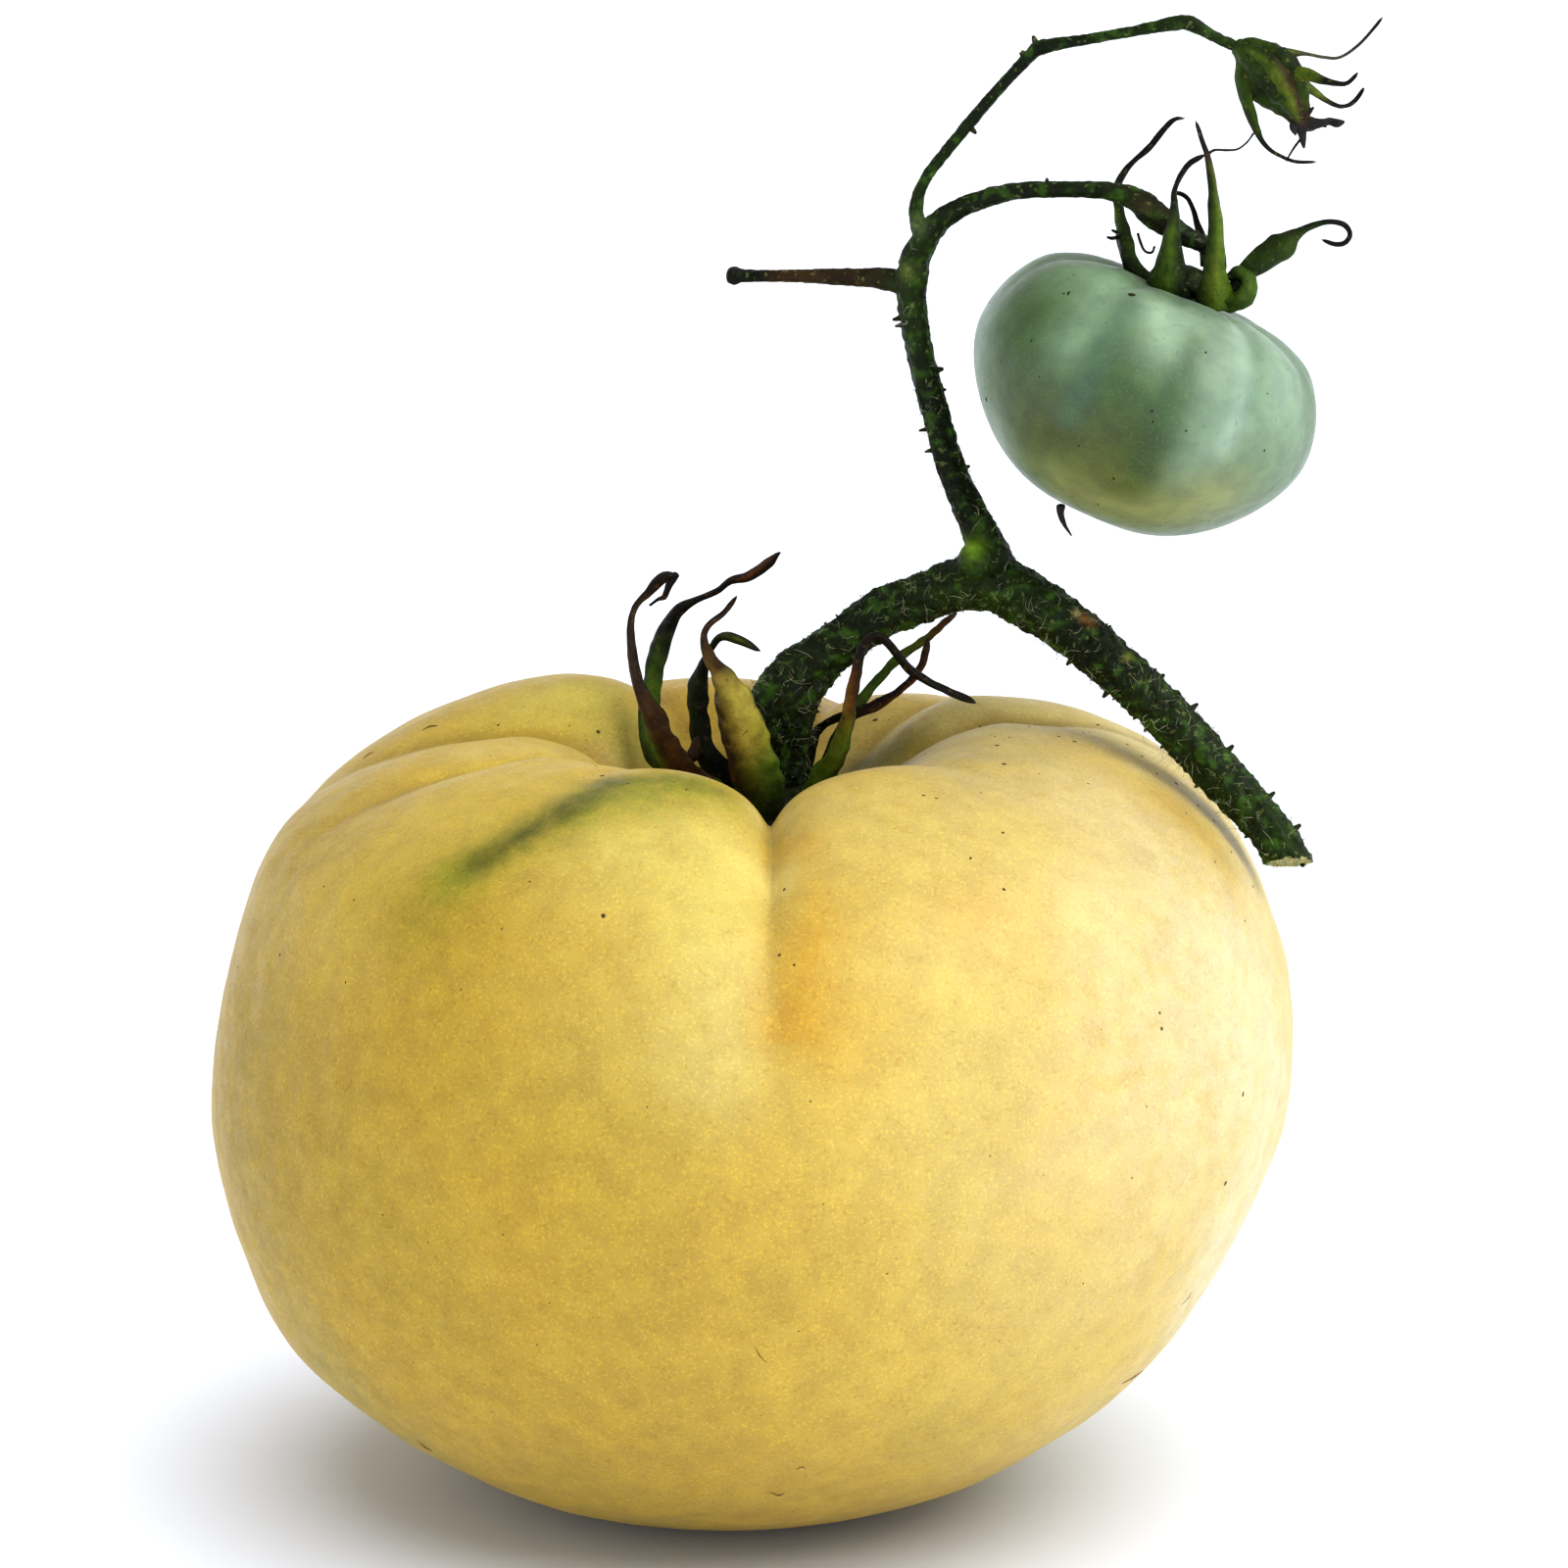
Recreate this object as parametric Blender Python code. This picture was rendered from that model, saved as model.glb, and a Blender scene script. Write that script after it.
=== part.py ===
"""A white tomesol tomato as picked: one ripe, pale fruit standing on its blossom end, and on its stem
a piece of the truss with a small unripe fruit, a withered flower and the stub of a lost fruit.

The object stands on z = 0 with its front towards -Y. All values are millimetres, and angles are degrees.
"""

import math

import bmesh
import bpy
import numpy as np
from mathutils import Matrix, Vector

MM = 0.001
STEPS_PER_SPAN = 12

# The front view that the stems' and sepals' places are given in
VIEW_ELEVATION = math.radians(14)
VIEW_DISTANCE = 600
VIEW_CENTRE = (4.3, 58.8)

# The ripe fruit: (radius, height) from the calyx's seat over the shoulder to the rim of the resting spot
RIPE_PROFILE = [(0, 56.6), (4.6, 56.8), (7.2, 58.8), (11, 62.4), (16, 64.8), (22, 65.2), (30.6, 63),
                (39.4, 57.2), (43.45, 48.2), (45.0, 38), (44.1, 29), (39.6, 17.8), (33.8, 10.8),
                (27, 5.5), (20.2, 2.1), (14.2, 0.5), (9.5, 0)]
# The middle of the fruit at a height: (height, right)
RIPE_LEAN = [(0, -0.3), (15, -0.3), (25, 0.5), (36, 1.6), (45, 2.25), (51, 2.15), (57, 1.95), (65, 2.7)]
RIPE_DEPTH_RATIO = 0.96
# The lobes of the shoulder that stand higher: (azimuth, rise), all of one spread, and fading out below
RIPE_RISES = [(-132, 1.9), (-95, -0.6), (-30, 1.4), (28, 0.9), (116, 1.4), (152, -1.0)]
RISE_SPREAD = 30
RISE_FOOT = 40
# Each furrow: azimuth from the front towards the right, depth, half width, reach below the shoulder's crest
RIPE_FURROWS = [(2, 4.7, 3.2, 42), (50, 1.0, 3.4, 22), (102, 1.6, 3.0, 18), (135, 1.6, 3.4, 32),
                (166, 2.2, 3.4, 38), (-152, 2.6, 3.4, 38), (-102, 1.8, 3.0, 34), (-76, 1.6, 2.8, 32),
                (-54, 0.5, 3.4, 26), (-38, 1.0, 5.0, 26)]
RIPE_RINGS = 29
RIPE_SEGMENTS = 60
# How round a furrow's bottom is, and how much its width grows towards its foot
FURROW_ROUNDNESS = 0.03
FURROW_GROWTH = 1.6

# The unripe fruit, in its own frame with its calyx up
GREEN_PROFILE = [(0, 8.9), (2.8, 8.9), (4.6, 9.2), (7.0, 9.35), (9.6, 8.7), (12.2, 7.1), (14.1, 3.8),
                 (14.6, 0.1), (13.5, -3.2), (11.1, -6.5), (8.0, -9.0), (4.5, -10.4), (0, -10.75)]
GREEN_FURROWS = [(-6, 0.9, 1.9, 20), (32, 0.7, 1.7, 18), (66, 0.8, 1.8, 18), (105, 0.7, 1.8, 18),
                 (150, 0.8, 1.8, 18), (-163, 0.8, 1.8, 18), (-118, 0.7, 1.8, 18), (-78, 0.8, 1.8, 18),
                 (-38, 1.5, 2.0, 22)]
GREEN_RINGS = 20
GREEN_SEGMENTS = 42
GREEN_CENTRE = (34.65, 91.95, -2.0)
GREEN_TILT_RIGHT = 24
GREEN_TILT_TOWARD = 7

# Calyx discs: (height above the seat, radius), with a gap to the fruit below and the stem above
GAP = 0.3
RIPE_DISC = [(0, 3.0), (0.5, 4.2), (1.2, 4.5), (1.9, 3.9)]
RIPE_SEAT = (3.4, 0, 56.8)
RIPE_ROOT = [(3.5, 1.25)]
GREEN_DISC = [(0, 1.6), (0.5, 2.5), (1.2, 2.8), (1.8, 2.0)]
GREEN_SEAT_HEIGHT = 8.9
GREEN_ROOT = [(1.9, 1.15), (3.4, 1.5)]

BLADE_THICKNESS = 0.62
BLADE_CUP = 0.18
BLADE_OUTER_STRIPS = (3, 4)
BLADE_END = [(0, 4, 1), (0, 5, 4), (1, 4, 3), (1, 3, 2)]

# Stems: (right, up, back, radius), read from the front view
CUT_STEM = [(20.4, 76.4, 0.3, 1.9), (23.3, 75.4, 0.0, 2.35), (27.9, 72.6, -0.8, 2.15),
            (32.0, 69.1, -1.6, 2.0), (35.9, 65.6, -2.4, 2.0), (39.5, 61.7, -3.4, 1.95),
            (43.2, 57.6, -4.4, 1.85), (46.0, 54.3, -5.2, 1.8), (47.3, 52.1, -5.8, 1.8)]
FRUIT_STEM = [(3.7, 57.8, 0.0, 2.2), (3.9, 59.7, 0.0, 2.2), (3.9, 61.8, 0.0, 2.4), (4.0, 63.9, 0.0, 2.75),
              (4.4, 66.0, 0.0, 2.9), (5.6, 67.8, 0.1, 2.55), (7.4, 69.5, 0.1, 2.1), (9.5, 71.2, 0.2, 1.95),
              (12.7, 73.3, 0.2, 2.0), (15.9, 74.6, 0.3, 2.0), (19.1, 75.7, 0.3, 2.2), (22.6, 76.0, 0.1, 2.4)]
RACHIS = [(22.4, 75.6, 0.1, 2.2), (21.8, 78.0, 0.3, 1.85), (20.7, 80.8, 0.6, 1.45), (19.0, 84.5, 1.2, 1.25),
          (17.6, 88.8, 1.8, 1.17), (16.1, 94.4, 2.4, 1.15), (15.3, 98.7, 2.6, 1.2), (15.0, 102.2, 2.5, 1.3)]
STUB = [(15.5, 100.8, 2.5, 1.1), (13.4, 101.6, 2.9, 0.95), (10.0, 101.9, 3.6, 0.72), (4.5, 102.0, 4.6, 0.52),
        (1.0, 102.0, 5.2, 0.55), (0.4, 102.0, 5.3, 0.8), (-0.2, 102.0, 5.4, 0.72)]
GREEN_STEM = [(15.1, 100.8, 2.5, 1.3), (15.6, 103.8, 2.0, 1.15), (17.6, 106.7, 1.1, 0.95),
              (20.8, 108.4, 0.2, 0.78), (24.1, 109.2, -0.6, 0.7), (28.5, 109.4, -1.3, 0.68),
              (32.2, 109.2, -1.8, 0.75), (34.2, 108.5, -2.0, 1.0), (35.5, 107.5, -2.0, 1.2),
              (36.9, 106.3, -2.0, 1.0), (38.6, 105.3, -1.8, 0.8), (40.1, 104.6, -1.3, 0.75),
              (40.7, 103.8, -1.0, 0.8), (40.3, 102.9, -0.9, 0.9)]
FLOWER_STEM = [(16.2, 104.6, 1.8, 0.8), (15.5, 107.6, 2.2, 0.62), (16.3, 110.2, 2.2, 0.5),
               (18.1, 112.6, 2.0, 0.5), (20.4, 115.4, 1.6, 0.5), (23.0, 118.4, 1.0, 0.48),
               (25.2, 120.7, 0.6, 0.55), (26.0, 121.4, 0.4, 0.62), (29.3, 122.0, -0.2, 0.46),
               (34.0, 122.8, -1.2, 0.46), (37.6, 123.5, -2.0, 0.62), (38.8, 123.5, -2.2, 0.66),
               (40.6, 122.5, -2.6, 0.46), (42.5, 121.6, -3.0, 0.5)]
STEM_SIDES = 10
TWIG_SIDES = 8
THREAD_SIDES = 6
RIPE_DISC_SIDES = 16
GREEN_DISC_SIDES = 14
STEM_SPACING = 1.6
TWIG_SPACING = 1.9
THREAD_SPACING = 0.9
DISC_SPACING = 0.5
CUT_TILT = Vector((0.05, -0.47, -1))
NODE_BUD = (20.5, 78.3, -1.2, 1.5)

# Sepals: the azimuth of the root on the disc, the azimuth that the outer face looks to, the root's width,
# then (right, up, back, width) up to the tip
RIPE_SEPALS = {
    "far_left": (-62, -60, 2.6, [(-1.8, 59.6, -3.4, 2.2), (-3.6, 60.9, -4.4, 2.0), (-5.1, 62.4, -5.4, 1.8),
                                 (-6.4, 64.6, -6.0, 1.6), (-7.5, 66.5, -6.2, 1.3), (-8.4, 68.6, -6.0, 1.0),
                                 (-8.7, 71.2, -5.4, 0.8), (-8.4, 73.6, -4.6, 0.65), (-7.2, 75.1, -4.0, 0.7),
                                 (-5.9, 76.4, -3.6, 0.9), (-4.9, 76.6, -3.4, 0.7)]),
    "left": (-104, -28, 2.8, [(-3.6, 59.4, 0.8, 2.6), (-6.2, 60.9, 1.8, 2.4), (-7.1, 62.9, 3.0, 2.2),
                              (-7.2, 65.0, 4.2, 1.9), (-6.9, 67.0, 5.0, 1.75), (-6.4, 69.8, 5.6, 1.7),
                              (-5.7, 71.8, 5.8, 1.5), (-4.7, 73.5, 5.8, 1.1), (-3.2, 74.4, 5.7, 0.65),
                              (-1.4, 75.2, 5.6, 0.6), (-0.2, 76.1, 5.5, 0.7), (1.4, 76.5, 5.4, 0.85),
                              (3.0, 77.6, 5.2, 0.85), (4.0, 78.5, 5.0, 0.6)]),
    "shaded": (-146, -35, 2.8, [(-1.6, 60.4, 3.4, 2.6), (-2.6, 62.4, 4.2, 2.4), (-2.9, 64.8, 4.8, 2.3),
                                (-3.0, 66.8, 4.8, 1.9), (-2.6, 68.6, 4.4, 1.1), (-1.9, 70.2, 3.8, 0.7),
                                (-1.0, 71.3, 3.2, 0.8), (0.3, 71.1, 2.6, 0.95), (1.4, 70.6, 2.2, 0.7),
                                (2.3, 70.1, 1.8, 0.6)]),
    "front": (-14, -8, 3.0, [(2.4, 58.4, -5.0, 4.0), (1.8, 60.2, -5.8, 4.2), (1.1, 62.4, -6.6, 3.9),
                             (0.4, 65.0, -7.2, 3.5), (-0.3, 67.1, -7.5, 3.0), (-1.2, 68.6, -7.6, 1.8),
                             (-2.1, 69.9, -7.5, 1.2), (-2.5, 71.3, -7.3, 0.7), (-2.1, 72.3, -7.1, 0.6),
                             (-0.8, 73.4, -6.8, 0.6), (0.3, 74.8, -6.5, 0.6)]),
    "right_front": (48, 22, 2.4, [(7.4, 59.4, -3.6, 2.3), (8.7, 61.2, -4.8, 2.0), (9.5, 63.5, -5.8, 1.5),
                                  (9.9, 65.6, -6.6, 1.25), (10.3, 67.7, -7.1, 1.05), (10.7, 69.6, -7.3, 0.9),
                                  (11.2, 70.8, -7.3, 0.8), (12.1, 71.4, -7.1, 0.7), (13.1, 70.8, -6.9, 0.65),
                                  (14.8, 68.7, -6.6, 0.75), (16.3, 67.7, -6.2, 0.6), (18.4, 66.7, -5.8, 0.6),
                                  (20.6, 65.7, -5.4, 0.6)]),
    "right_back": (98, 28, 2.4, [(8.2, 60.6, 0.8, 1.9), (9.2, 63.2, 2.0, 1.5), (10.6, 65.6, 3.4, 1.2),
                                 (12.2, 67.7, 4.6, 1.0), (14.2, 69.9, 5.4, 1.05), (16.2, 71.3, 5.8, 0.9),
                                 (18.0, 72.7, 6.0, 0.8), (19.0, 73.4, 6.0, 0.7)]),
    "right": (146, 60, 2.4, [(6.3, 61.0, 3.6, 1.8), (7.0, 63.3, 3.6, 1.4), (8.6, 64.5, 3.0, 1.1),
                             (10.4, 64.9, 2.6, 1.0), (12.2, 65.6, 2.4, 0.9), (14.0, 66.9, 2.2, 0.7),
                             (15.2, 68.0, 2.2, 0.7), (16.0, 69.5, 2.2, 0.85), (16.5, 71.2, 2.2, 0.6)]),
}
GREEN_SEPALS = {
    "left": (-100, -50, 2.4, [(33.9, 104.0, -2.6, 2.2), (33.2, 105.6, -0.8, 1.8), (33.0, 107.8, 1.4, 1.3),
                              (32.8, 110.0, 2.6, 0.8), (34.2, 111.9, 3.0, 0.65), (35.8, 113.3, 3.0, 0.8),
                              (37.4, 115.2, 2.8, 0.65), (38.5, 115.4, 2.6, 0.6)]),
    "middle": (-40, -12, 2.8, [(36.9, 102.4, -5.4, 3.2), (36.8, 104.2, -5.4, 2.6), (37.3, 105.6, -5.2, 1.8),
                               (37.6, 107.2, -4.8, 1.1), (37.4, 109.2, -4.6, 0.7), (38.0, 110.8, -4.6, 0.7),
                               (39.2, 111.9, -4.6, 0.7), (40.3, 112.3, -4.6, 0.6)]),
    "tall": (15, 8, 2.3, [(40.7, 102.6, -5.6, 2.1), (40.9, 105.2, -5.8, 1.8), (40.9, 107.4, -6.0, 1.5),
                          (40.6, 109.8, -6.2, 1.0), (40.4, 112.0, -6.2, 0.7), (39.9, 113.5, -6.0, 0.65),
                          (39.3, 115.2, -5.8, 0.6)]),
    "right": (85, 30, 2.0, [(44.7, 103.3, -3.2, 2.2), (46.2, 104.4, -3.4, 2.2), (47.4, 105.2, -3.6, 1.3),
                            (48.4, 106.1, -3.7, 0.9), (49.8, 106.6, -3.7, 0.65), (51.3, 106.4, -3.7, 0.6),
                            (52.3, 105.6, -3.6, 0.6), (51.8, 104.7, -3.5, 0.6), (50.0, 105.1, -3.4, 0.6)]),
    "back": (160, 160, 1.8, [(40.4, 104.4, 2.2, 1.3), (39.6, 106.2, 3.6, 0.9), (39.2, 107.4, 4.0, 0.7),
                             (38.6, 108.6, 4.0, 0.6), (37.5, 109.0, 3.8, 0.6)]),
}
# The sixth sepal of the unripe fruit is rolled into a knob: (right, up, back, radius)
GREEN_ROLL = [(40.3, 100.8, -3.6, 0.9), (42.2, 100.1, -4.6, 1.0), (43.3, 100.4, -4.6, 1.05),
              (43.5, 101.5, -4.2, 0.8)]

# The withered flower: its cup of half-closed sepals, and the dried petals that hang out of it
FLOWER_CUP = [(43.1, 121.3, -3.1, 0.8), (44.2, 120.5, -3.3, 1.5), (45.6, 119.2, -3.5, 1.95),
              (46.8, 117.5, -3.7, 1.65), (47.7, 116.0, -3.8, 1.0)]
FLOWER_SEPALS = {
    "top": (10, [(45.4, 120.9, -3.2, 2.0), (47.2, 121.0, -2.9, 1.1), (49.0, 120.8, -2.5, 0.65),
                 (51.4, 120.6, -2.2, 0.6), (53.3, 121.8, -2.0, 0.6), (55.2, 124.0, -2.0, 0.6)]),
    "upper": (20, [(46.4, 118.9, -4.0, 2.0), (48.4, 119.2, -5.4, 1.5), (50.2, 118.6, -6.6, 0.9),
                   (52.0, 118.3, -7.4, 0.65), (53.1, 119.2, -7.8, 0.6)]),
    "side": (60, [(46.6, 118.4, -2.8, 1.8), (48.8, 118.0, -1.6, 1.1), (50.4, 116.9, -0.6, 0.65),
                  (52.0, 116.5, 0.1, 0.6), (53.6, 117.8, 0.5, 0.6)]),
    "lower": (-30, [(44.4, 119.5, -3.2, 1.6), (43.5, 117.6, -3.6, 1.2), (44.0, 115.8, -3.9, 0.95),
                    (44.6, 114.3, -4.1, 0.65), (46.0, 112.6, -4.3, 0.6), (47.8, 111.7, -4.5, 0.6),
                    (49.6, 111.7, -4.6, 0.6)]),
}
# Each withered petal: (right, up, back, radius)
DRIED_PETALS = [
    [(48.0, 115.2, -3.8, 0.7), (48.6, 114.9, -3.9, 0.8), (49.9, 115.0, -4.1, 0.5), (51.6, 115.1, -4.4, 0.42)],
    [(48.0, 115.2, -3.8, 0.7), (48.4, 114.3, -3.8, 0.55), (48.3, 113.0, -3.7, 0.32)],
    [(48.2, 115.0, -3.8, 0.7), (49.6, 114.4, -3.2, 0.45), (50.8, 114.4, -2.6, 0.32)],
    [(48.1, 115.1, -3.9, 0.7), (49.0, 116.0, -4.6, 0.4), (50.0, 116.5, -5.0, 0.32)],
]
# The dried style at the unripe fruit's blossom end: (x, y, z, radius) in that fruit's own frame
DRIED_STYLE = [(-2.2, 0.4, -11.05, 0.4), (-1.9, 0.5, -11.7, 0.36), (-1.3, 0.6, -12.3, 0.32),
               (-0.4, 0.6, -12.9, 0.3)]

# Colour, roughness
COLOURS = {
    "tomato": ((0.80, 0.62, 0.24), 0.42),
    "green_tomato": ((0.26, 0.38, 0.22), 0.5),
    "truss_stem": ((0.035, 0.075, 0.018), 0.7),
    "tomato_calyx": ((0.10, 0.11, 0.025), 0.7),
    "green_calyx": ((0.05, 0.11, 0.015), 0.6),
    "flower_calyx": ((0.08, 0.10, 0.02), 0.6),
    "flower_petals": ((0.035, 0.02, 0.012), 0.8),
    "dried_style": ((0.03, 0.02, 0.012), 0.8),
}


def clear_scene():
    for obj in list(bpy.data.objects):
        bpy.data.objects.remove(obj)


# Places

RIGHT = Vector((1, 0, 0))
UP = Vector((0, math.sin(VIEW_ELEVATION), math.cos(VIEW_ELEVATION)))
TOWARD = Vector((0, -math.cos(VIEW_ELEVATION), math.sin(VIEW_ELEVATION)))
EYE = RIGHT * VIEW_CENTRE[0] + UP * VIEW_CENTRE[1] + TOWARD * VIEW_DISTANCE


def seen(right, up, back):
    """The point of the upright plane y = back that the front view shows at (right, up)."""
    through = RIGHT * right + UP * up
    share = (back - EYE.y) / (through.y - EYE.y)
    return EYE + (through - EYE) * share


def placed(route):
    """The rows (right, up, back, size) of a route as (x, y, z, size)."""
    return [(*seen(*row[:3]), row[3]) for row in route]


def smooth(rows, count, spatial):
    """Evenly spaced rows on a smooth curve through the given ones. The first spatial columns are a place."""
    knots = np.array(rows, float)
    knots = np.vstack([2 * knots[0] - knots[1], knots, 2 * knots[-1] - knots[-2]])
    fine = []
    for before, start, end, after in zip(knots, knots[1:], knots[2:], knots[3:]):
        for share in np.arange(STEPS_PER_SPAN) / STEPS_PER_SPAN:
            bend = (2 * before - 5 * start + 4 * end - after) * share**2
            twist = (3 * start - before - 3 * end + after) * share**3
            fine.append((2 * start + (end - before) * share + bend + twist) / 2)
    fine = np.array(fine + [knots[-2]])
    steps = np.linalg.norm(np.diff(fine[:, :spatial], axis=0), axis=1)
    reach = np.concatenate([[0], np.cumsum(steps)])
    wanted = np.linspace(0, reach[-1], count)
    return np.column_stack([np.interp(wanted, reach, column) for column in fine.T])


def length_of(rows):
    return float(np.linalg.norm(np.diff(np.array(rows)[:, :3], axis=0), axis=1).sum())


# Solids

def new_object(name, points, faces):
    mesh = bpy.data.meshes.new(name)
    mesh.from_pydata([Vector(point) * MM for point in points], [], faces)
    mesh.shade_smooth()
    obj = bpy.data.objects.new(name, mesh)
    bpy.context.scene.collection.objects.link(obj)
    return obj


def turned_from(azimuth, towards):
    """The angle in radians from one azimuth in degrees to others in radians, the shorter way round."""
    return (azimuth - math.radians(towards) + math.pi) % (2 * math.pi) - math.pi


def furrowed(profile, furrows, rings, segments, lean=((0, 0), (1, 0)), depth_ratio=1, rises=()):
    """Rings of points of a fruit: a turned profile, pressed in along each furrow."""
    line = smooth(profile, rings, 2)
    radius = np.maximum(line[:, 0], 0)
    height = line[:, 1]
    slope = np.gradient(line, axis=0)
    out = np.column_stack([-slope[:, 1], slope[:, 0]])
    out /= np.linalg.norm(out, axis=1)[:, None]
    arc = np.concatenate([[0], np.cumsum(np.linalg.norm(np.diff(line, axis=0), axis=1))])
    arc -= arc[np.argmax(height)]
    seat_radius = profile[1][0]
    seat_fade = np.clip((radius - seat_radius) / profile[2][0], 0, 1)
    azimuth = np.linspace(0, 2 * math.pi, segments, endpoint=False)
    pressed = np.zeros((rings, segments))
    for towards, depth, width, reach in furrows:
        turn = turned_from(azimuth, towards)
        down = np.clip(arc / reach, 0, 1)
        fade = depth * (1 - down**2 * (3 - 2 * down)) * seat_fade
        across = radius[:, None] * np.abs(turn) / (width * (1 + FURROW_GROWTH * down))[:, None]
        pressed += fade[:, None] * np.exp(-np.sqrt(across**2 + FURROW_ROUNDNESS))
    ring_radius = radius[:, None] - out[:, 0:1] * pressed
    ring_height = height[:, None] - out[:, 1:2] * pressed
    middle = np.interp(height, *zip(*lean))
    x = middle[:, None] + ring_radius * np.sin(azimuth)
    y = -ring_radius * np.cos(azimuth) * depth_ratio
    lift = np.zeros(segments)
    for towards, rise in rises:
        lift += rise * np.exp(-(np.degrees(turned_from(azimuth, towards)) / RISE_SPREAD)**2)
    share = np.clip((ring_height - RISE_FOOT) / (height.max() - RISE_FOOT), 0, 1) * seat_fade[:, None]
    return np.dstack([x, y, ring_height + lift * share])


def fruit(name, rings):
    """A closed skin over rings of points, whose first and last ring are each one point."""
    inner = rings[1:-1]
    count, segments = inner.shape[:2]
    points = [rings[0, 0], *inner.reshape(-1, 3), rings[-1, 0]]
    last = len(points) - 1

    def at(ring, segment):
        return 1 + ring * segments + segment % segments

    faces = [(0, at(0, s), at(0, s + 1)) for s in range(segments)]
    for ring in range(count - 1):
        for s in range(segments):
            faces.append((at(ring, s), at(ring + 1, s), at(ring + 1, s + 1), at(ring, s + 1)))
    faces += [(last, at(count - 1, s + 1), at(count - 1, s)) for s in range(segments)]
    return new_object(name, points, faces)


def frames(points):
    """The tangent at each point, and a side direction that turns as little as possible along the way."""
    points = [Vector(p) for p in points]
    ends = [points[0], *points, points[-1]]
    tangents = [(after - before).normalized() for before, after in zip(ends, ends[2:])]
    side = tangents[0].orthogonal().normalized()
    sides = []
    for tangent in tangents:
        side = (side - tangent * side.dot(tangent)).normalized()
        sides.append(side.copy())
    return tangents, sides


def tube(name, route, sides, spacing, end_plane=None):
    """A round stem along (x, y, z, radius), capped at both ends, with its last ring in the given plane."""
    count = max(3, round(length_of(route) / spacing) + 1)
    rows = smooth(route, count, 3)
    tangents, across = frames(rows[:, :3])
    points = []
    for index, (row, tangent, side) in enumerate(zip(rows, tangents, across)):
        other = tangent.cross(side)
        for turn in np.arange(sides) * 2 * math.pi / sides:
            point = Vector(row[:3]) + (side * math.cos(turn) + other * math.sin(turn)) * row[3]
            if end_plane and index == count - 1:
                away = (Vector(row[:3]) - point).dot(end_plane)
                point += tangent * away / tangent.dot(end_plane)
            points.append(point)
    faces = [tuple(range(sides))[::-1], tuple(range((count - 1) * sides, count * sides))]
    for ring in range(count - 1):
        low = ring * sides
        for s in range(sides):
            nxt = (s + 1) % sides
            faces.append((low + s, low + nxt, low + sides + nxt, low + sides + s))
    return new_object(name, points, faces)


def blade(name, towards, route):
    """A sepal: a thin cupped strip along (x, y, z, width) whose outer face looks to an azimuth."""
    count = max(4, round(length_of(route) / TWIG_SPACING) + 1)
    rows = smooth(route, count, 3)
    tangents, _ = frames(rows[:, :3])
    facing = Vector((math.sin(math.radians(towards)), -math.cos(math.radians(towards)), 0))
    half = BLADE_THICKNESS / 2
    points = []
    for row, tangent in zip(rows, tangents):
        width = max(row[3], BLADE_THICKNESS)
        side = tangent.cross(facing).normalized()
        out = side.cross(tangent)
        cup = BLADE_CUP * (width - BLADE_THICKNESS)
        section = [(-1, -half), (0, cup - half), (1, -half), (1, half), (0, cup + half), (-1, half)]
        for across, level in section:
            points.append(Vector(row[:3]) + side * across * width / 2 + out * level)
    corners = len(section)
    faces = []
    for low in range(0, (count - 1) * corners, corners):
        for first in range(corners):
            second = (first + 1) % corners
            quad = (low + first, low + second, low + corners + second, low + corners + first)
            # Both skins are split along the same diagonal, so that they never cross
            if first in BLADE_OUTER_STRIPS:
                faces += [(quad[0], quad[1], quad[3]), (quad[1], quad[2], quad[3])]
            else:
                faces += [(quad[0], quad[1], quad[2]), (quad[0], quad[2], quad[3])]
    top = (count - 1) * corners
    faces += BLADE_END
    faces += [(top + a, top + c, top + b) for a, b, c in BLADE_END]
    return outward(new_object(name, points, faces))


def ball(name, centre, radius):
    mesh = bpy.data.meshes.new(name)
    shape = bmesh.new()
    bmesh.ops.create_icosphere(shape, subdivisions=2, radius=radius * MM)
    shape.transform(Matrix.Translation(Vector(centre) * MM))
    shape.to_mesh(mesh)
    shape.free()
    mesh.shade_smooth()
    obj = bpy.data.objects.new(name, mesh)
    bpy.context.scene.collection.objects.link(obj)
    return obj


def outward(obj):
    shape = bmesh.new()
    shape.from_mesh(obj.data)
    bmesh.ops.recalc_face_normals(shape, faces=shape.faces)
    shape.to_mesh(obj.data)
    shape.free()
    return obj


def fused(name, base, others):
    """One solid of the base and the others, under the given name."""
    group = bpy.data.collections.new(name + "_pieces")
    bpy.context.scene.collection.children.link(group)
    for other in others:
        bpy.context.scene.collection.objects.unlink(other)
        group.objects.link(other)
    join = base.modifiers.new("Join", "BOOLEAN")
    join.operation = "UNION"
    join.operand_type = "COLLECTION"
    join.collection = group
    join.solver = "EXACT"
    bpy.context.view_layer.update()
    evaluated = base.evaluated_get(bpy.context.evaluated_depsgraph_get())
    joined = bpy.data.meshes.new_from_object(evaluated)
    base.modifiers.clear()
    base.data = joined
    base.name = name
    base.data.name = name
    for other in list(group.objects):
        bpy.data.objects.remove(other)
    bpy.data.collections.remove(group)
    return base


# The object's pieces

def ripe_fruit():
    """The ripe fruit, which ends in a flat resting spot."""
    rings = furrowed(RIPE_PROFILE, RIPE_FURROWS, RIPE_RINGS, RIPE_SEGMENTS, RIPE_LEAN, RIPE_DEPTH_RATIO,
                     RIPE_RISES)
    middle = np.broadcast_to(rings[-1].mean(axis=0), rings[-1:].shape)
    return outward(fruit("tomato", np.concatenate([rings, middle])))


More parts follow.
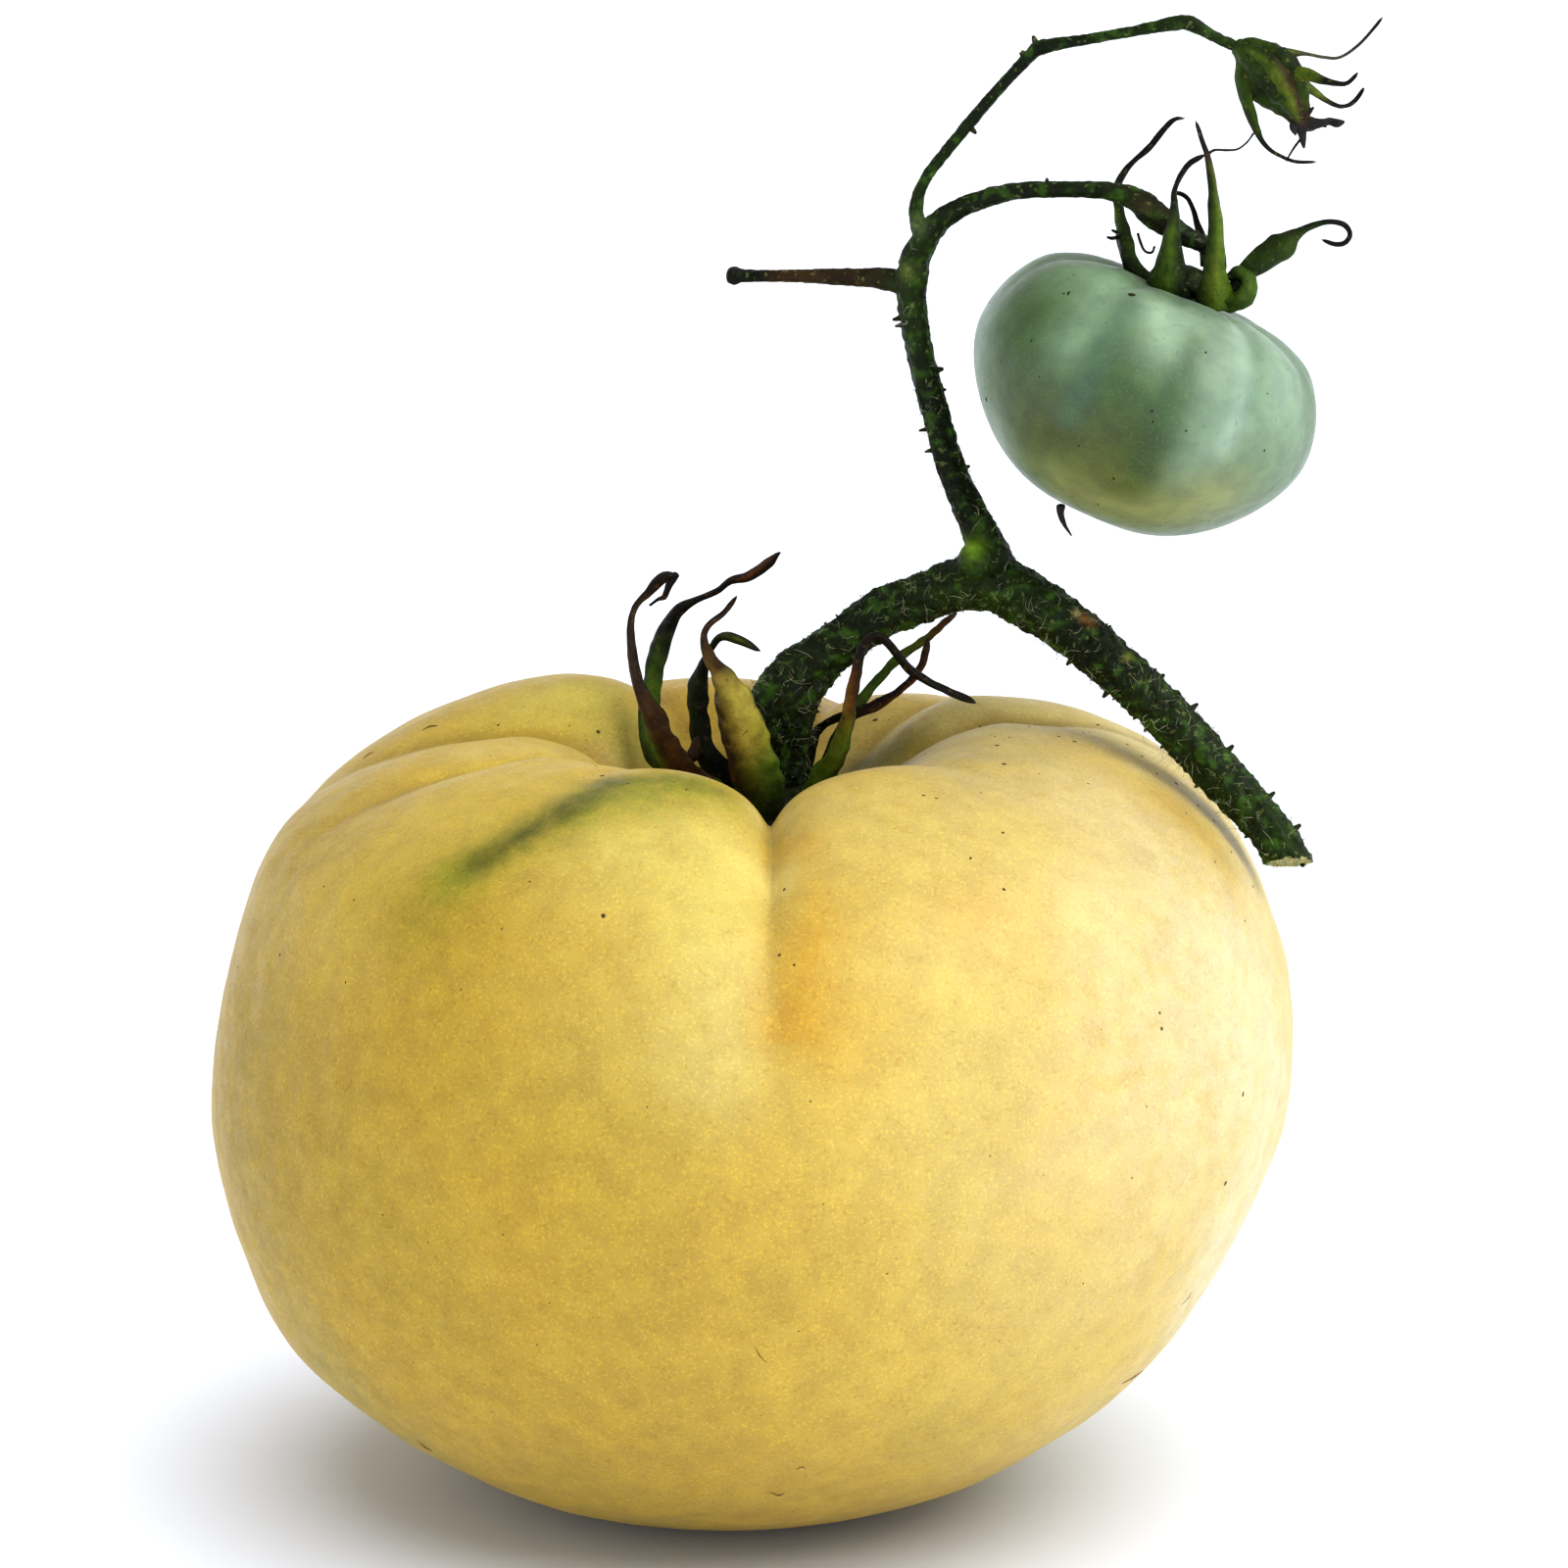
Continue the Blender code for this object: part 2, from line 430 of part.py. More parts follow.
def green_frame():
    """Turns the unripe fruit's own frame into the object's."""
    toward = math.radians(GREEN_TILT_TOWARD)
    right = math.radians(GREEN_TILT_RIGHT)
    up = TOWARD * math.sin(toward) + (UP * math.cos(right) + RIGHT * math.sin(right)) * math.cos(toward)
    side = (RIGHT - up * RIGHT.dot(up)).normalized()
    turned = Matrix((side, up.cross(side), up)).transposed().to_4x4()
    return Matrix.Translation(seen(*GREEN_CENTRE)) @ turned


def unripe_fruit():
    rings = furrowed(GREEN_PROFILE, GREEN_FURROWS, GREEN_RINGS, GREEN_SEGMENTS)
    frame = green_frame()
    turned = np.array([[frame @ Vector(point) for point in ring] for ring in rings])
    return outward(fruit("green_tomato", turned))


def truss_stem():
    main = tube("truss_stem", placed(CUT_STEM), STEM_SIDES, STEM_SPACING, CUT_TILT)
    others = [
        tube("fruit_stem", placed(FRUIT_STEM), STEM_SIDES, STEM_SPACING),
        tube("rachis", placed(RACHIS), STEM_SIDES, STEM_SPACING),
        tube("stub", placed(STUB), TWIG_SIDES, TWIG_SPACING),
        tube("green_stem", placed(GREEN_STEM), TWIG_SIDES, TWIG_SPACING),
        tube("flower_stem", placed(FLOWER_STEM), TWIG_SIDES, TWIG_SPACING),
        ball("node_bud", seen(*NODE_BUD[:3]), NODE_BUD[3]),
    ]
    return fused("truss_stem", main, others)


def disc(name, rows, frame, sides):
    """A round calyx disc, whose rows are (height above the seat, radius) in the given frame."""
    route = [(*(frame @ Vector((0, 0, height + GAP))), radius) for height, radius in rows]
    return tube(name, route, sides, DISC_SPACING)


def sepals(name, table, frame, root):
    """The blades of a calyx, each rising from its root inside the disc."""
    blades = []
    for where, (azimuth, towards, width, rows) in table.items():
        outwards = Vector((math.sin(math.radians(azimuth)), -math.cos(math.radians(azimuth)), 0))
        start = [frame @ (outwards * radius + Vector((0, 0, height + GAP))) for radius, height in root]
        route = [(*point, width) for point in start] + placed(rows)
        blades.append(blade(name + "_" + where, towards, route))
    return blades


def tomato_calyx():
    frame = Matrix.Translation(RIPE_SEAT)
    base = disc("tomato_calyx", RIPE_DISC, frame, RIPE_DISC_SIDES)
    return fused("tomato_calyx", base, sepals("ripe", RIPE_SEPALS, frame, RIPE_ROOT))


def green_calyx():
    frame = green_frame() @ Matrix.Translation((0, 0, GREEN_SEAT_HEIGHT))
    base = disc("green_calyx", GREEN_DISC, frame, GREEN_DISC_SIDES)
    roll = tube("roll", placed(GREEN_ROLL), TWIG_SIDES, THREAD_SPACING)
    return fused("green_calyx", base, [*sepals("green", GREEN_SEPALS, frame, GREEN_ROOT), roll])


def flower_calyx():
    base = tube("flower_calyx", placed(FLOWER_CUP), STEM_SIDES, THREAD_SPACING)
    blades = [blade(where, towards, placed(rows)) for where, (towards, rows) in FLOWER_SEPALS.items()]
    return fused("flower_calyx", base, blades)


def flower_petals():
    first, *others = [tube("petal", placed(route), THREAD_SIDES, THREAD_SPACING) for route in DRIED_PETALS]
    return fused("flower_petals", first, others)


def dried_style():
    frame = green_frame()
    route = [(*(frame @ Vector(row[:3])), row[3]) for row in DRIED_STYLE]
    return tube("dried_style", route, THREAD_SIDES, THREAD_SPACING)


def paint(obj):
    colour, roughness = COLOURS[obj.name]
    material = bpy.data.materials.new(obj.name)
    material.use_nodes = True
    shader = material.node_tree.nodes["Principled BSDF"]
    shader.inputs["Base Color"].default_value = (*colour, 1)
    shader.inputs["Roughness"].default_value = roughness
    shader.inputs["Metallic"].default_value = 0
    obj.data.materials.clear()
    obj.data.materials.append(material)


def main():
    clear_scene()
    pieces = [ripe_fruit(), unripe_fruit(), truss_stem(), tomato_calyx(), green_calyx(), flower_calyx(),
              flower_petals(), dried_style()]
    for piece in pieces:
        paint(piece)


main()
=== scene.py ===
"""The looks of the white tomesol tomato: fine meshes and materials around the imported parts.

All places in the tables are millimetres and all angles are degrees, as in the parts' own source.
"""

import math

import bmesh
import bpy
import numpy as np
from mathutils import Matrix, Vector, kdtree, noise
from mathutils.bvhtree import BVHTree


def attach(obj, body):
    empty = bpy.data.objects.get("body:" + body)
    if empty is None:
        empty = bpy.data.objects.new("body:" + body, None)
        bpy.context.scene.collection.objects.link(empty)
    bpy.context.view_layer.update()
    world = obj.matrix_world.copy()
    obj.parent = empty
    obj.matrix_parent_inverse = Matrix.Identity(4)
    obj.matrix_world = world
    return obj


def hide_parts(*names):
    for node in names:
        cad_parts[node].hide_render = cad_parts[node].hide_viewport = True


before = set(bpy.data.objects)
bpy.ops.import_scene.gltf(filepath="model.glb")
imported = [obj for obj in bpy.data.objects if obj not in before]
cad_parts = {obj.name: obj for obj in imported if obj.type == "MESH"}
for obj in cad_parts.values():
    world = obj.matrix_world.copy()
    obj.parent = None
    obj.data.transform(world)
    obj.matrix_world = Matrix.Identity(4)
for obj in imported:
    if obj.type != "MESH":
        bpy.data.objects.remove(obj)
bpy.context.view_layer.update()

MM = 0.001
STEPS_PER_SPAN = 12

# The front view that the stems' and sepals' places are given in
VIEW_ELEVATION = math.radians(14)
VIEW_DISTANCE = 600
VIEW_CENTRE = (4.3, 58.8)

# The ripe fruit: (radius, height) from the calyx's seat over the shoulder to the rim of the resting spot
RIPE_PROFILE = [
    (0, 56.6), (4.6, 56.8), (7.2, 58.8), (11, 62.4), (16, 64.8), (22, 65.2), (30.6, 63), (39.4, 57.2),
    (43.45, 48.2), (45, 38), (44.1, 29), (39.6, 17.8), (33.8, 10.8), (27, 5.5), (20.2, 2.1), (14.2, 0.5),
    (9.5, 0),
]
# The middle of the fruit at a height: (height, right)
RIPE_LEAN = [(0, -0.3), (15, -0.3), (25, 0.5), (36, 1.6), (45, 2.25), (51, 2.15), (57, 1.95), (65, 2.7)]
RIPE_DEPTH_RATIO = 0.96
# The lobes of the shoulder that stand higher: (azimuth, rise), all of one spread, and fading out below
RIPE_RISES = [(-132, 1.9), (-95, -0.6), (-30, 1.4), (28, 0.9), (116, 1.4), (152, -1.0)]
RISE_SPREAD = 30
RISE_FOOT = 40
# Each furrow: azimuth from the front towards the right, depth, half width, reach below the shoulder's crest
RIPE_FURROWS = [
    (1.2, 3.6, 3.2, 42), (50, 1, 3.4, 22), (102, 1.6, 3, 18), (135, 1.6, 3.4, 32), (166, 2.2, 3.4, 38),
    (-152, 2.6, 3.4, 38), (-102, 1.8, 3, 34), (-76, 1.6, 2.8, 32), (-54, 0.5, 3.4, 26), (-38, 1, 5, 26),
]
# How round a furrow's bottom is, and how much its width grows towards its foot
FURROW_ROUNDNESS = 0.03
FURROW_GROWTH = 1.6

# The unripe fruit, in its own frame with its calyx up
GREEN_PROFILE = [
    (0, 8.9), (2.8, 8.9), (4.6, 9.2), (7, 9.35), (9.6, 8.7), (12.2, 7.1), (14.1, 3.8), (14.6, 0.1),
    (13.5, -3.2), (11.1, -6.5), (8, -9), (4.5, -10.4), (0, -10.75),
]
GREEN_FURROWS = [
    (-6, 0.9, 1.9, 20), (32, 0.7, 1.7, 18), (66, 0.8, 1.8, 18), (105, 0.7, 1.8, 18), (150, 0.8, 1.8, 18),
    (-163, 0.8, 1.8, 18), (-118, 0.7, 1.8, 18), (-78, 0.8, 1.8, 18), (-38, 1.5, 2, 22),
]
GREEN_CENTRE = (34.65, 91.95, -2.0)
GREEN_TILT_RIGHT = 24
GREEN_TILT_TOWARD = 7

# Calyx discs: (height above the seat, radius), with a gap to the fruit below and the stem above
GAP = 0.3
RIPE_DISC = [(0, 3.0), (0.5, 4.2), (1.2, 4.5), (1.9, 3.9)]
RIPE_SEAT = (3.4, 0, 56.8)
RIPE_ROOT = [(3.5, 1.25)]
GREEN_DISC = [(-0.2, 1.8), (0.1, 2.5), (0.5, 2.6), (1.0, 1.8)]
GREEN_SEAT_HEIGHT = 8.9

# Stems: (right, up, back, radius), read from the front view
CUT_STEM = [
    (20.4, 76.4, 0.3, 1.9), (23.3, 75.4, 0, 2.35), (27.9, 72.6, -0.8, 2.15), (32, 69.1, -1.6, 2),
    (35.9, 65.6, -2.4, 2), (39.5, 61.7, -3.4, 1.95), (43.2, 57.6, -4.4, 1.85), (46, 54.3, -5.2, 1.8),
    (47.3, 52.1, -5.8, 1.8),
]
FRUIT_STEM = [
    (3.7, 57.8, 0, 2.2), (3.9, 59.7, 0, 2.2), (3.9, 61.8, 0, 2.4), (4, 63.9, 0, 2.75), (4.4, 66, 0, 2.9),
    (5.6, 67.8, 0.1, 2.55), (7.4, 69.5, 0.1, 2.1), (9.5, 71.2, 0.2, 1.95), (12.7, 73.3, 0.2, 2),
    (15.9, 74.6, 0.3, 2), (19.1, 75.7, 0.3, 2.2), (22.6, 76, 0.1, 2.4),
]
RACHIS = [
    (22.4, 75.6, 0.1, 2.2), (21.8, 78, 0.3, 1.85), (20.7, 80.8, 0.6, 1.45), (19, 84.5, 1.2, 1.25),
    (17.6, 88.8, 1.8, 1.17), (16.1, 94.4, 2.4, 1.15), (15.3, 98.7, 2.6, 1.2), (15, 102.2, 2.5, 1.3),
]
STUB = [
    (15.5, 100.8, 2.5, 1.1), (13.4, 101.6, 2.9, 0.95), (10, 101.9, 3.6, 0.72), (4.5, 102, 4.6, 0.52),
    (1, 102, 5.2, 0.55), (0.4, 102, 5.3, 0.8), (-0.2, 102, 5.4, 0.72),
]
GREEN_STEM = [
    (15.1, 100.8, 2.5, 1.3), (15.6, 103.8, 2, 1.15), (17.6, 106.7, 1.1, 0.95), (20.8, 108.4, 0.2, 0.78),
    (24.1, 109.2, -0.6, 0.7), (28.5, 109.4, -1.3, 0.68), (32.2, 109.2, -1.8, 0.75), (34.2, 108.5, -2, 1),
    (35.5, 107.5, -2, 1.2), (36.9, 106.3, -2, 1), (38.6, 105.3, -1.8, 0.8), (40.1, 104.6, -1.3, 0.75),
    (41, 103.9, -1, 0.8), (41, 102.7, -1.2, 0.9),
]
FLOWER_STEM = [
    (16.2, 104.6, 1.8, 0.8), (15.5, 107.6, 2.2, 0.62), (16.3, 110.2, 2.2, 0.5), (18.1, 112.6, 2, 0.5),
    (20.4, 115.4, 1.6, 0.5), (23, 118.4, 1, 0.48), (25.2, 120.7, 0.6, 0.55), (26, 121.4, 0.4, 0.62),
    (29.3, 122, -0.2, 0.46), (34, 122.8, -1.2, 0.46), (37.6, 123.5, -2, 0.62), (38.8, 123.5, -2.2, 0.66),
    (40.6, 122.5, -2.6, 0.46), (42.5, 121.6, -3, 0.5),
]
NODE_BUD = (20.5, 78.3, -1.2, 1.5)

# Sepals: the azimuth of the root on the disc, the azimuth that the outer face looks to, the root's width,
# then (right, up, back, width) up to the tip
RIPE_SEPALS = {
    "far_left": (-62, -24, 3, [(-3.6, 59.4, -3.2, 2.9), (-5.1, 61, -4.2, 3), (-6.1, 62.9, -5.2, 2.7),
        (-6.9, 64.9, -5.8, 2.2), (-7.8, 66.7, -6.2, 1.3), (-8.4, 68.6, -6, 1), (-8.7, 71.2, -5.4, 0.8),
        (-8.4, 73.6, -4.6, 0.65), (-7.2, 75.1, -4, 0.85), (-5.9, 76.4, -3.6, 1.15), (-4.9, 76.6, -3.4, 1)]),
    "left": (-104, -28, 2.8, [(-3.6, 59.4, 0.8, 2.6), (-6.2, 60.9, 1.8, 2.4), (-7.1, 62.9, 3, 2.2),
        (-7.2, 65, 4.2, 1.9), (-6.9, 67, 5, 1.75), (-6.4, 69.8, 5.6, 1.7), (-5.7, 71.8, 5.8, 1.5),
        (-4.7, 73.5, 5.8, 1.1), (-3.2, 74.4, 5.7, 0.65), (-1.4, 75.2, 5.6, 0.6), (-0.2, 76.1, 5.5, 0.7),
        (1.4, 76.5, 5.4, 1), (3, 77.6, 5.2, 1.05), (4, 78.5, 5, 0.9)]),
    "shaded": (-146, -35, 2.8, [(-1.6, 60.4, 3.4, 2.6), (-2.6, 62.4, 4.2, 2.4), (-2.9, 64.8, 4.8, 2.3),
        (-3, 66.8, 4.8, 1.9), (-2.6, 68.6, 4.4, 1.1), (-1.9, 70.2, 3.8, 0.7), (-1, 71.3, 3.2, 0.8),
        (0.3, 71.1, 2.6, 0.95), (1.4, 70.6, 2.2, 0.7), (2.3, 70.1, 1.8, 0.6)]),
    "front": (-14, -8, 3, [(2.4, 58.4, -5, 4), (1.8, 60.2, -5.8, 4.2), (1.1, 62.4, -6.6, 3.9),
        (0.4, 65, -7.2, 3.5), (-0.3, 67.1, -7.5, 3), (-1.2, 68.6, -7.6, 1.8), (-2.1, 69.9, -7.5, 1.2),
        (-2.5, 71.3, -7.3, 0.7), (-2.1, 72.3, -7.1, 0.6), (-0.8, 73.4, -6.8, 0.6), (0.3, 74.8, -6.5, 0.6)]),
    "right_front": (48, 22, 2.4, [(7.4, 59.4, -3.6, 2.3), (8.7, 61.2, -4.8, 2), (9.5, 63.5, -5.8, 1.5),
        (9.9, 65.6, -6.6, 1.25), (10.3, 67.7, -7.1, 1.05), (10.7, 69.6, -7.3, 0.9), (11.2, 70.8, -7.3, 0.8),
        (12.1, 71.4, -7.1, 0.75), (13.1, 70.8, -6.9, 0.75), (14.8, 68.7, -6.6, 0.85),
        (16.3, 67.7, -6.2, 0.8), (18.4, 66.7, -5.8, 0.8), (20.6, 65.7, -5.4, 0.8)]),
    "right_back": (98, 28, 2.4, [(8.2, 60.6, 0.8, 1.9), (9.2, 63.2, 2, 1.5), (10.6, 65.6, 3.4, 1.2),
        (12.2, 67.7, 4.6, 1), (14.2, 69.9, 5.4, 1.05), (16.2, 71.3, 5.8, 0.9), (18, 72.7, 6, 0.8),
        (19, 73.4, 6, 0.7)]),
    "right": (146, 60, 2.4, [(6.3, 61, 3.6, 1.8), (7, 63.3, 3.6, 1.4), (8.6, 64.5, 3, 1.2),
        (10.4, 64.9, 2.6, 1.15), (12.2, 65.6, 2.4, 1.05), (14, 66.9, 2.2, 0.85), (15.2, 68, 2.2, 0.85),
        (16, 69.5, 2.2, 0.95), (16.5, 71.2, 2.2, 0.75)]),
}
GREEN_SEPALS = {
    "left": (-100, -40, 2, [(36.4, 100.5, -3.2, 2.4), (35.3, 101.2, -3, 2.3), (34.4, 102.3, -2.6, 1.9),
        (33.6, 103.6, -2, 1.8), (33.3, 105, -0.9, 1.7), (33, 106.5, 0.4, 1.3), (32.8, 108, 1.4, 1.1),
        (32.7, 109.6, 2.4, 0.8), (33.3, 110.9, 2.8, 0.6), (34.2, 111.9, 3, 0.5), (35.8, 113.3, 3, 0.7),
        (37.4, 115.2, 2.8, 0.5), (38.4, 115.4, 2.6, 0.4)]),
    "middle": (-40, -12, 3.2, [(36.9, 99.9, -4.4, 4.2), (36.9, 101.2, -4.9, 3.6), (37.1, 102.5, -5.2, 2.7),
        (37.2, 103.9, -5.3, 2.1), (37.3, 105.3, -5.2, 1.45), (37.45, 106.8, -5, 1),
        (37.45, 108.3, -4.8, 0.65), (37.5, 109.4, -4.6, 0.5), (38.2, 110.9, -4.6, 0.55),
        (39, 111.8, -4.6, 0.55), (40.1, 112.3, -4.6, 0.5)]),
    "tall": (15, 8, 2.4, [(40.8, 99.4, -4.9, 3.6), (40.96, 100.9, -5.3, 2.8), (40.9, 102.7, -5.5, 1.9),
        (40.96, 105, -5.8, 1.5), (40.95, 106.8, -6, 1.3), (40.8, 108.5, -6.1, 1), (40.6, 110.3, -6.2, 0.8),
        (40.4, 111.8, -6.2, 0.6), (40.2, 112.8, -6.1, 0.5), (39.8, 113.8, -6, 0.5),
        (39.3, 115.2, -5.8, 0.4)]),
    "right": (85, 10, 1.4, [(42.2, 101.6, -3.4, 1.3), (43.3, 102.2, -3.4, 1.5), (44.6, 103.2, -3.4, 2.1),
        (46, 104.2, -3.5, 2.4), (46.9, 104.8, -3.6, 2.2), (47.8, 105.5, -3.6, 1.1), (49, 106.2, -3.7, 0.65),
        (50.5, 106.6, -3.7, 0.5), (51.8, 106.4, -3.7, 0.5), (52.4, 105.6, -3.6, 0.5),
        (52, 104.8, -3.5, 0.5), (51.1, 104.7, -3.4, 0.5), (50, 105.1, -3.4, 0.4)]),
    "back": (160, 160, 1.8, [(40.2, 103.2, 0.6, 1.4), (40, 104.6, 2.2, 1), (39.5, 106.2, 3.6, 0.6),
        (39.1, 107.6, 4, 0.45), (38.5, 108.7, 4, 0.45), (37.4, 109.1, 3.8, 0.4)]),
}
# The sixth sepal of the unripe fruit is rolled into a knob: (right, up, back, radius)
GREEN_ROLL = [
    (39.8, 100.3, -4.2, 0.6), (41.2, 99.9, -4.6, 0.75), (42.4, 99.8, -4.9, 0.8), (43.3, 100.2, -5, 0.8),
    (43.75, 101, -4.9, 0.72), (43.6, 101.9, -4.7, 0.6), (42.9, 102.3, -4.4, 0.5), (42.2, 101.9, -4.2, 0.4),
]
# A near-black knob inside the rolled sepal, painted shade of its hollow: (right, up, back, radius)
GREEN_HOLLOW_SHADE = [(42.5, 100.8, -4.2, 0.7), (43.0, 101.3, -4.1, 0.7)]

# The withered flower: its cup of half-closed sepals, and the dried petals that hang out of it
FLOWER_CUP = [
    (42.9, 121.5, -3.1, 0.7), (43.6, 121.1, -3.2, 1.35), (44.7, 120.2, -3.4, 2.05),
    (45.9, 119.1, -3.6, 2.35), (46.9, 117.8, -3.7, 2.05), (47.7, 116.5, -3.8, 1.4),
    (48.2, 115.3, -3.9, 0.8),
]
FLOWER_SEPALS = {
    "top": (10, [(45.4, 120.7, -3, 1.6), (47.2, 120.9, -2.8, 0.9), (48.6, 120.9, -2.5, 0.34),
        (50.2, 120.6, -2.3, 0.28), (51.6, 120.6, -2.2, 0.26), (53.3, 121.8, -2, 0.28),
        (55.2, 124, -2, 0.34)]),
    "upper": (20, [(46.4, 118.9, -4, 2), (48.3, 119.2, -5.2, 1.3), (50, 118.7, -6.4, 0.75),
        (51.2, 118.4, -7.1, 0.5), (52.2, 118.4, -7.4, 0.42), (53.1, 119.3, -7.8, 0.36)]),
    "side": (60, [(46.6, 118.4, -2.8, 1.8), (48.8, 118, -1.6, 1), (50.4, 116.9, -0.6, 0.5),
        (51.6, 116.4, 0, 0.4), (52.6, 116.8, 0.3, 0.38), (53.6, 118, 0.5, 0.34)]),
    "lower": (-30, [(43.6, 120.8, -3.4, 1.3), (43.4, 119.3, -3.8, 1.6), (43.5, 117.8, -4, 1.4),
        (43.9, 116.2, -4.1, 1.1), (44.5, 114.4, -4.1, 0.7), (45.2, 113.3, -4.2, 0.42),
        (46.2, 112.4, -4.3, 0.36), (47.8, 111.7, -4.5, 0.34), (49.6, 111.7, -4.6, 0.3)]),
}
# Each withered petal: (right, up, back, radius)
DRIED_PETALS = [
    [(47.9, 115.6, -3.8, 0.55), (48.6, 115.2, -3.9, 0.5), (49.6, 115, -4.1, 0.4),
     (50.6, 115.15, -4.3, 0.3), (51.4, 115, -4.4, 0.34), (51.9, 115.1, -4.5, 0.14)],
    [(48, 115.2, -3.8, 0.55), (48.3, 114.3, -3.8, 0.42), (48.4, 113.5, -3.7, 0.26),
     (48.5, 112.9, -3.7, 0.1)],
    [(48.2, 115, -3.8, 0.5), (49, 114.7, -3.5, 0.34), (49.8, 114.9, -3, 0.2), (50.4, 114.7, -2.7, 0.1)],
    [(48.1, 115.4, -3.9, 0.5), (48.8, 115.9, -4.3, 0.28), (49.3, 116.3, -4.6, 0.12)],
    [(47.8, 115.3, -4.3, 0.4), (47.6, 114.6, -4.6, 0.3), (47.8, 114, -4.7, 0.1)],
]
# The dried style at the unripe fruit's blossom end: (x, y, z, radius) in that fruit's own frame
DRIED_STYLE = [
    (-2.2, 0.4, -11.05, 0.4), (-1.9, 0.5, -11.7, 0.36), (-1.3, 0.6, -12.3, 0.32), (-0.4, 0.6, -12.9, 0.3),
]
CUT_PLANE = Vector((0.05, -0.47, -1))

RIGHT = Vector((1, 0, 0))
UP = Vector((0, math.sin(VIEW_ELEVATION), math.cos(VIEW_ELEVATION)))
TOWARD = Vector((0, -math.cos(VIEW_ELEVATION), math.sin(VIEW_ELEVATION)))
EYE = RIGHT * VIEW_CENTRE[0] + UP * VIEW_CENTRE[1] + TOWARD * VIEW_DISTANCE

# The photograph's frame: its size in pixels, and the pixel at the middle of the resting spot
PHOTO_SIZE = 1600
PIXELS_PER_MM = 12
PHOTO_FOOT = (748, 1506)
SENSOR = 36

RIPE_RINGS = 200
RIPE_SEGMENTS = 400
GREEN_RINGS = 120
GREEN_SEGMENTS = 260


def rgb(red, green, blue):
    """A colour given as 0 to 255 on a screen, as linear light."""
    parts = np.array([red, green, blue]) / 255
    return np.where(parts <= 0.04045, parts / 12.92, ((parts + 0.055) / 1.055)**2.4)


PALETTE = {
    "black": rgb(17, 12, 6), "brown": rgb(51, 33, 14), "earth": rgb(44, 40, 14), "purple": rgb(65, 40, 28),
    "tan": rgb(106, 80, 35), "rust": rgb(93, 50, 17), "yellow": rgb(135, 129, 43), "olive": rgb(81, 89, 23),
    "green": rgb(66, 90, 16), "leaf": rgb(42, 62, 8), "dark": rgb(24, 34, 6), "shade": rgb(9, 14, 4),
    "lime": rgb(93, 107, 29), "grey": rgb(72, 75, 61), "straw": rgb(168, 152, 68), "stem": rgb(30, 48, 7),
    "moss": rgb(12, 21, 2), "fresh": rgb(56, 92, 22), "down": rgb(178, 182, 150), "fuzz": rgb(88, 104, 50),
}


# Places

def seen(right, up, back):
    """The point of the upright plane y = back that the front view shows at (right, up)."""
    through = RIGHT * right + UP * up
    share = (back - EYE.y) / (through.y - EYE.y)
    return EYE + (through - EYE) * share


def placed(route):
    """The rows (right, up, back, size) of a route as (x, y, z, size)."""
    return [(*seen(*row[:3]), row[3]) for row in route]


def shown_at(point):
    """Where the front view shows a point, as (right, up)."""
    away = Vector(point) - EYE
    scale = VIEW_DISTANCE / -away.dot(TOWARD)
    return VIEW_CENTRE[0] + away.dot(RIGHT) * scale, VIEW_CENTRE[1] + away.dot(UP) * scale


def from_pixel(x, y):
    return (x - PHOTO_FOOT[0]) / PIXELS_PER_MM, (PHOTO_FOOT[1] - y) / PIXELS_PER_MM


def smooth(rows, count, spatial):
    """Evenly spaced rows on a smooth curve through the given ones. The first spatial columns are a place."""
    knots = np.array(rows, float)
    knots = np.vstack([2 * knots[0] - knots[1], knots, 2 * knots[-1] - knots[-2]])
    fine = []
    for before, start, end, after in zip(knots, knots[1:], knots[2:], knots[3:]):
        for share in np.arange(STEPS_PER_SPAN) / STEPS_PER_SPAN:
            bend = (2 * before - 5 * start + 4 * end - after) * share**2
            twist = (3 * start - before - 3 * end + after) * share**3
            fine.append((2 * start + (end - before) * share + bend + twist) / 2)
    fine = np.array(fine + [knots[-2]])
    steps = np.linalg.norm(np.diff(fine[:, :spatial], axis=0), axis=1)
    reach = np.concatenate([[0], np.cumsum(steps)])
    wanted = np.linspace(0, reach[-1], count)
    return np.column_stack([np.interp(wanted, reach, column) for column in fine.T])


def length_of(rows):
    return float(np.linalg.norm(np.diff(np.array(rows)[:, :3], axis=0), axis=1).sum())


def step(value, low, high):
    """A smooth step from 0 at low to 1 at high."""
    share = np.clip((np.asarray(value, float) - low) / (high - low), 0, 1)
    return share * share * (3 - 2 * share)


def rough(points, size, seed=0.0):
    """Smooth noise of the given grain size in millimetres at each point, from -1 to 1."""
    shift = Vector((seed * 17.3, seed * 5.1, seed * 9.7))
    return np.array([noise.noise(Vector(point) / size + shift) for point in points])


# Forms. Each is (points, faces, colours)

def joined(shapes):
    points = []
    faces = []
    colours = []
    total = 0
    for own_points, own_faces, own_colours in shapes:
        points.append(np.asarray(own_points, float))
        faces += [tuple(index + total for index in face) for face in own_faces]
        colours.append(np.broadcast_to(own_colours, (len(own_points), 3)))
        total += len(own_points)
    return np.vstack(points), faces, np.vstack(colours)


def turned_from(azimuth, towards):
    """The angle in radians from one azimuth in degrees to others in radians, the shorter way round."""
    return (azimuth - math.radians(towards) + math.pi) % (2 * math.pi) - math.pi


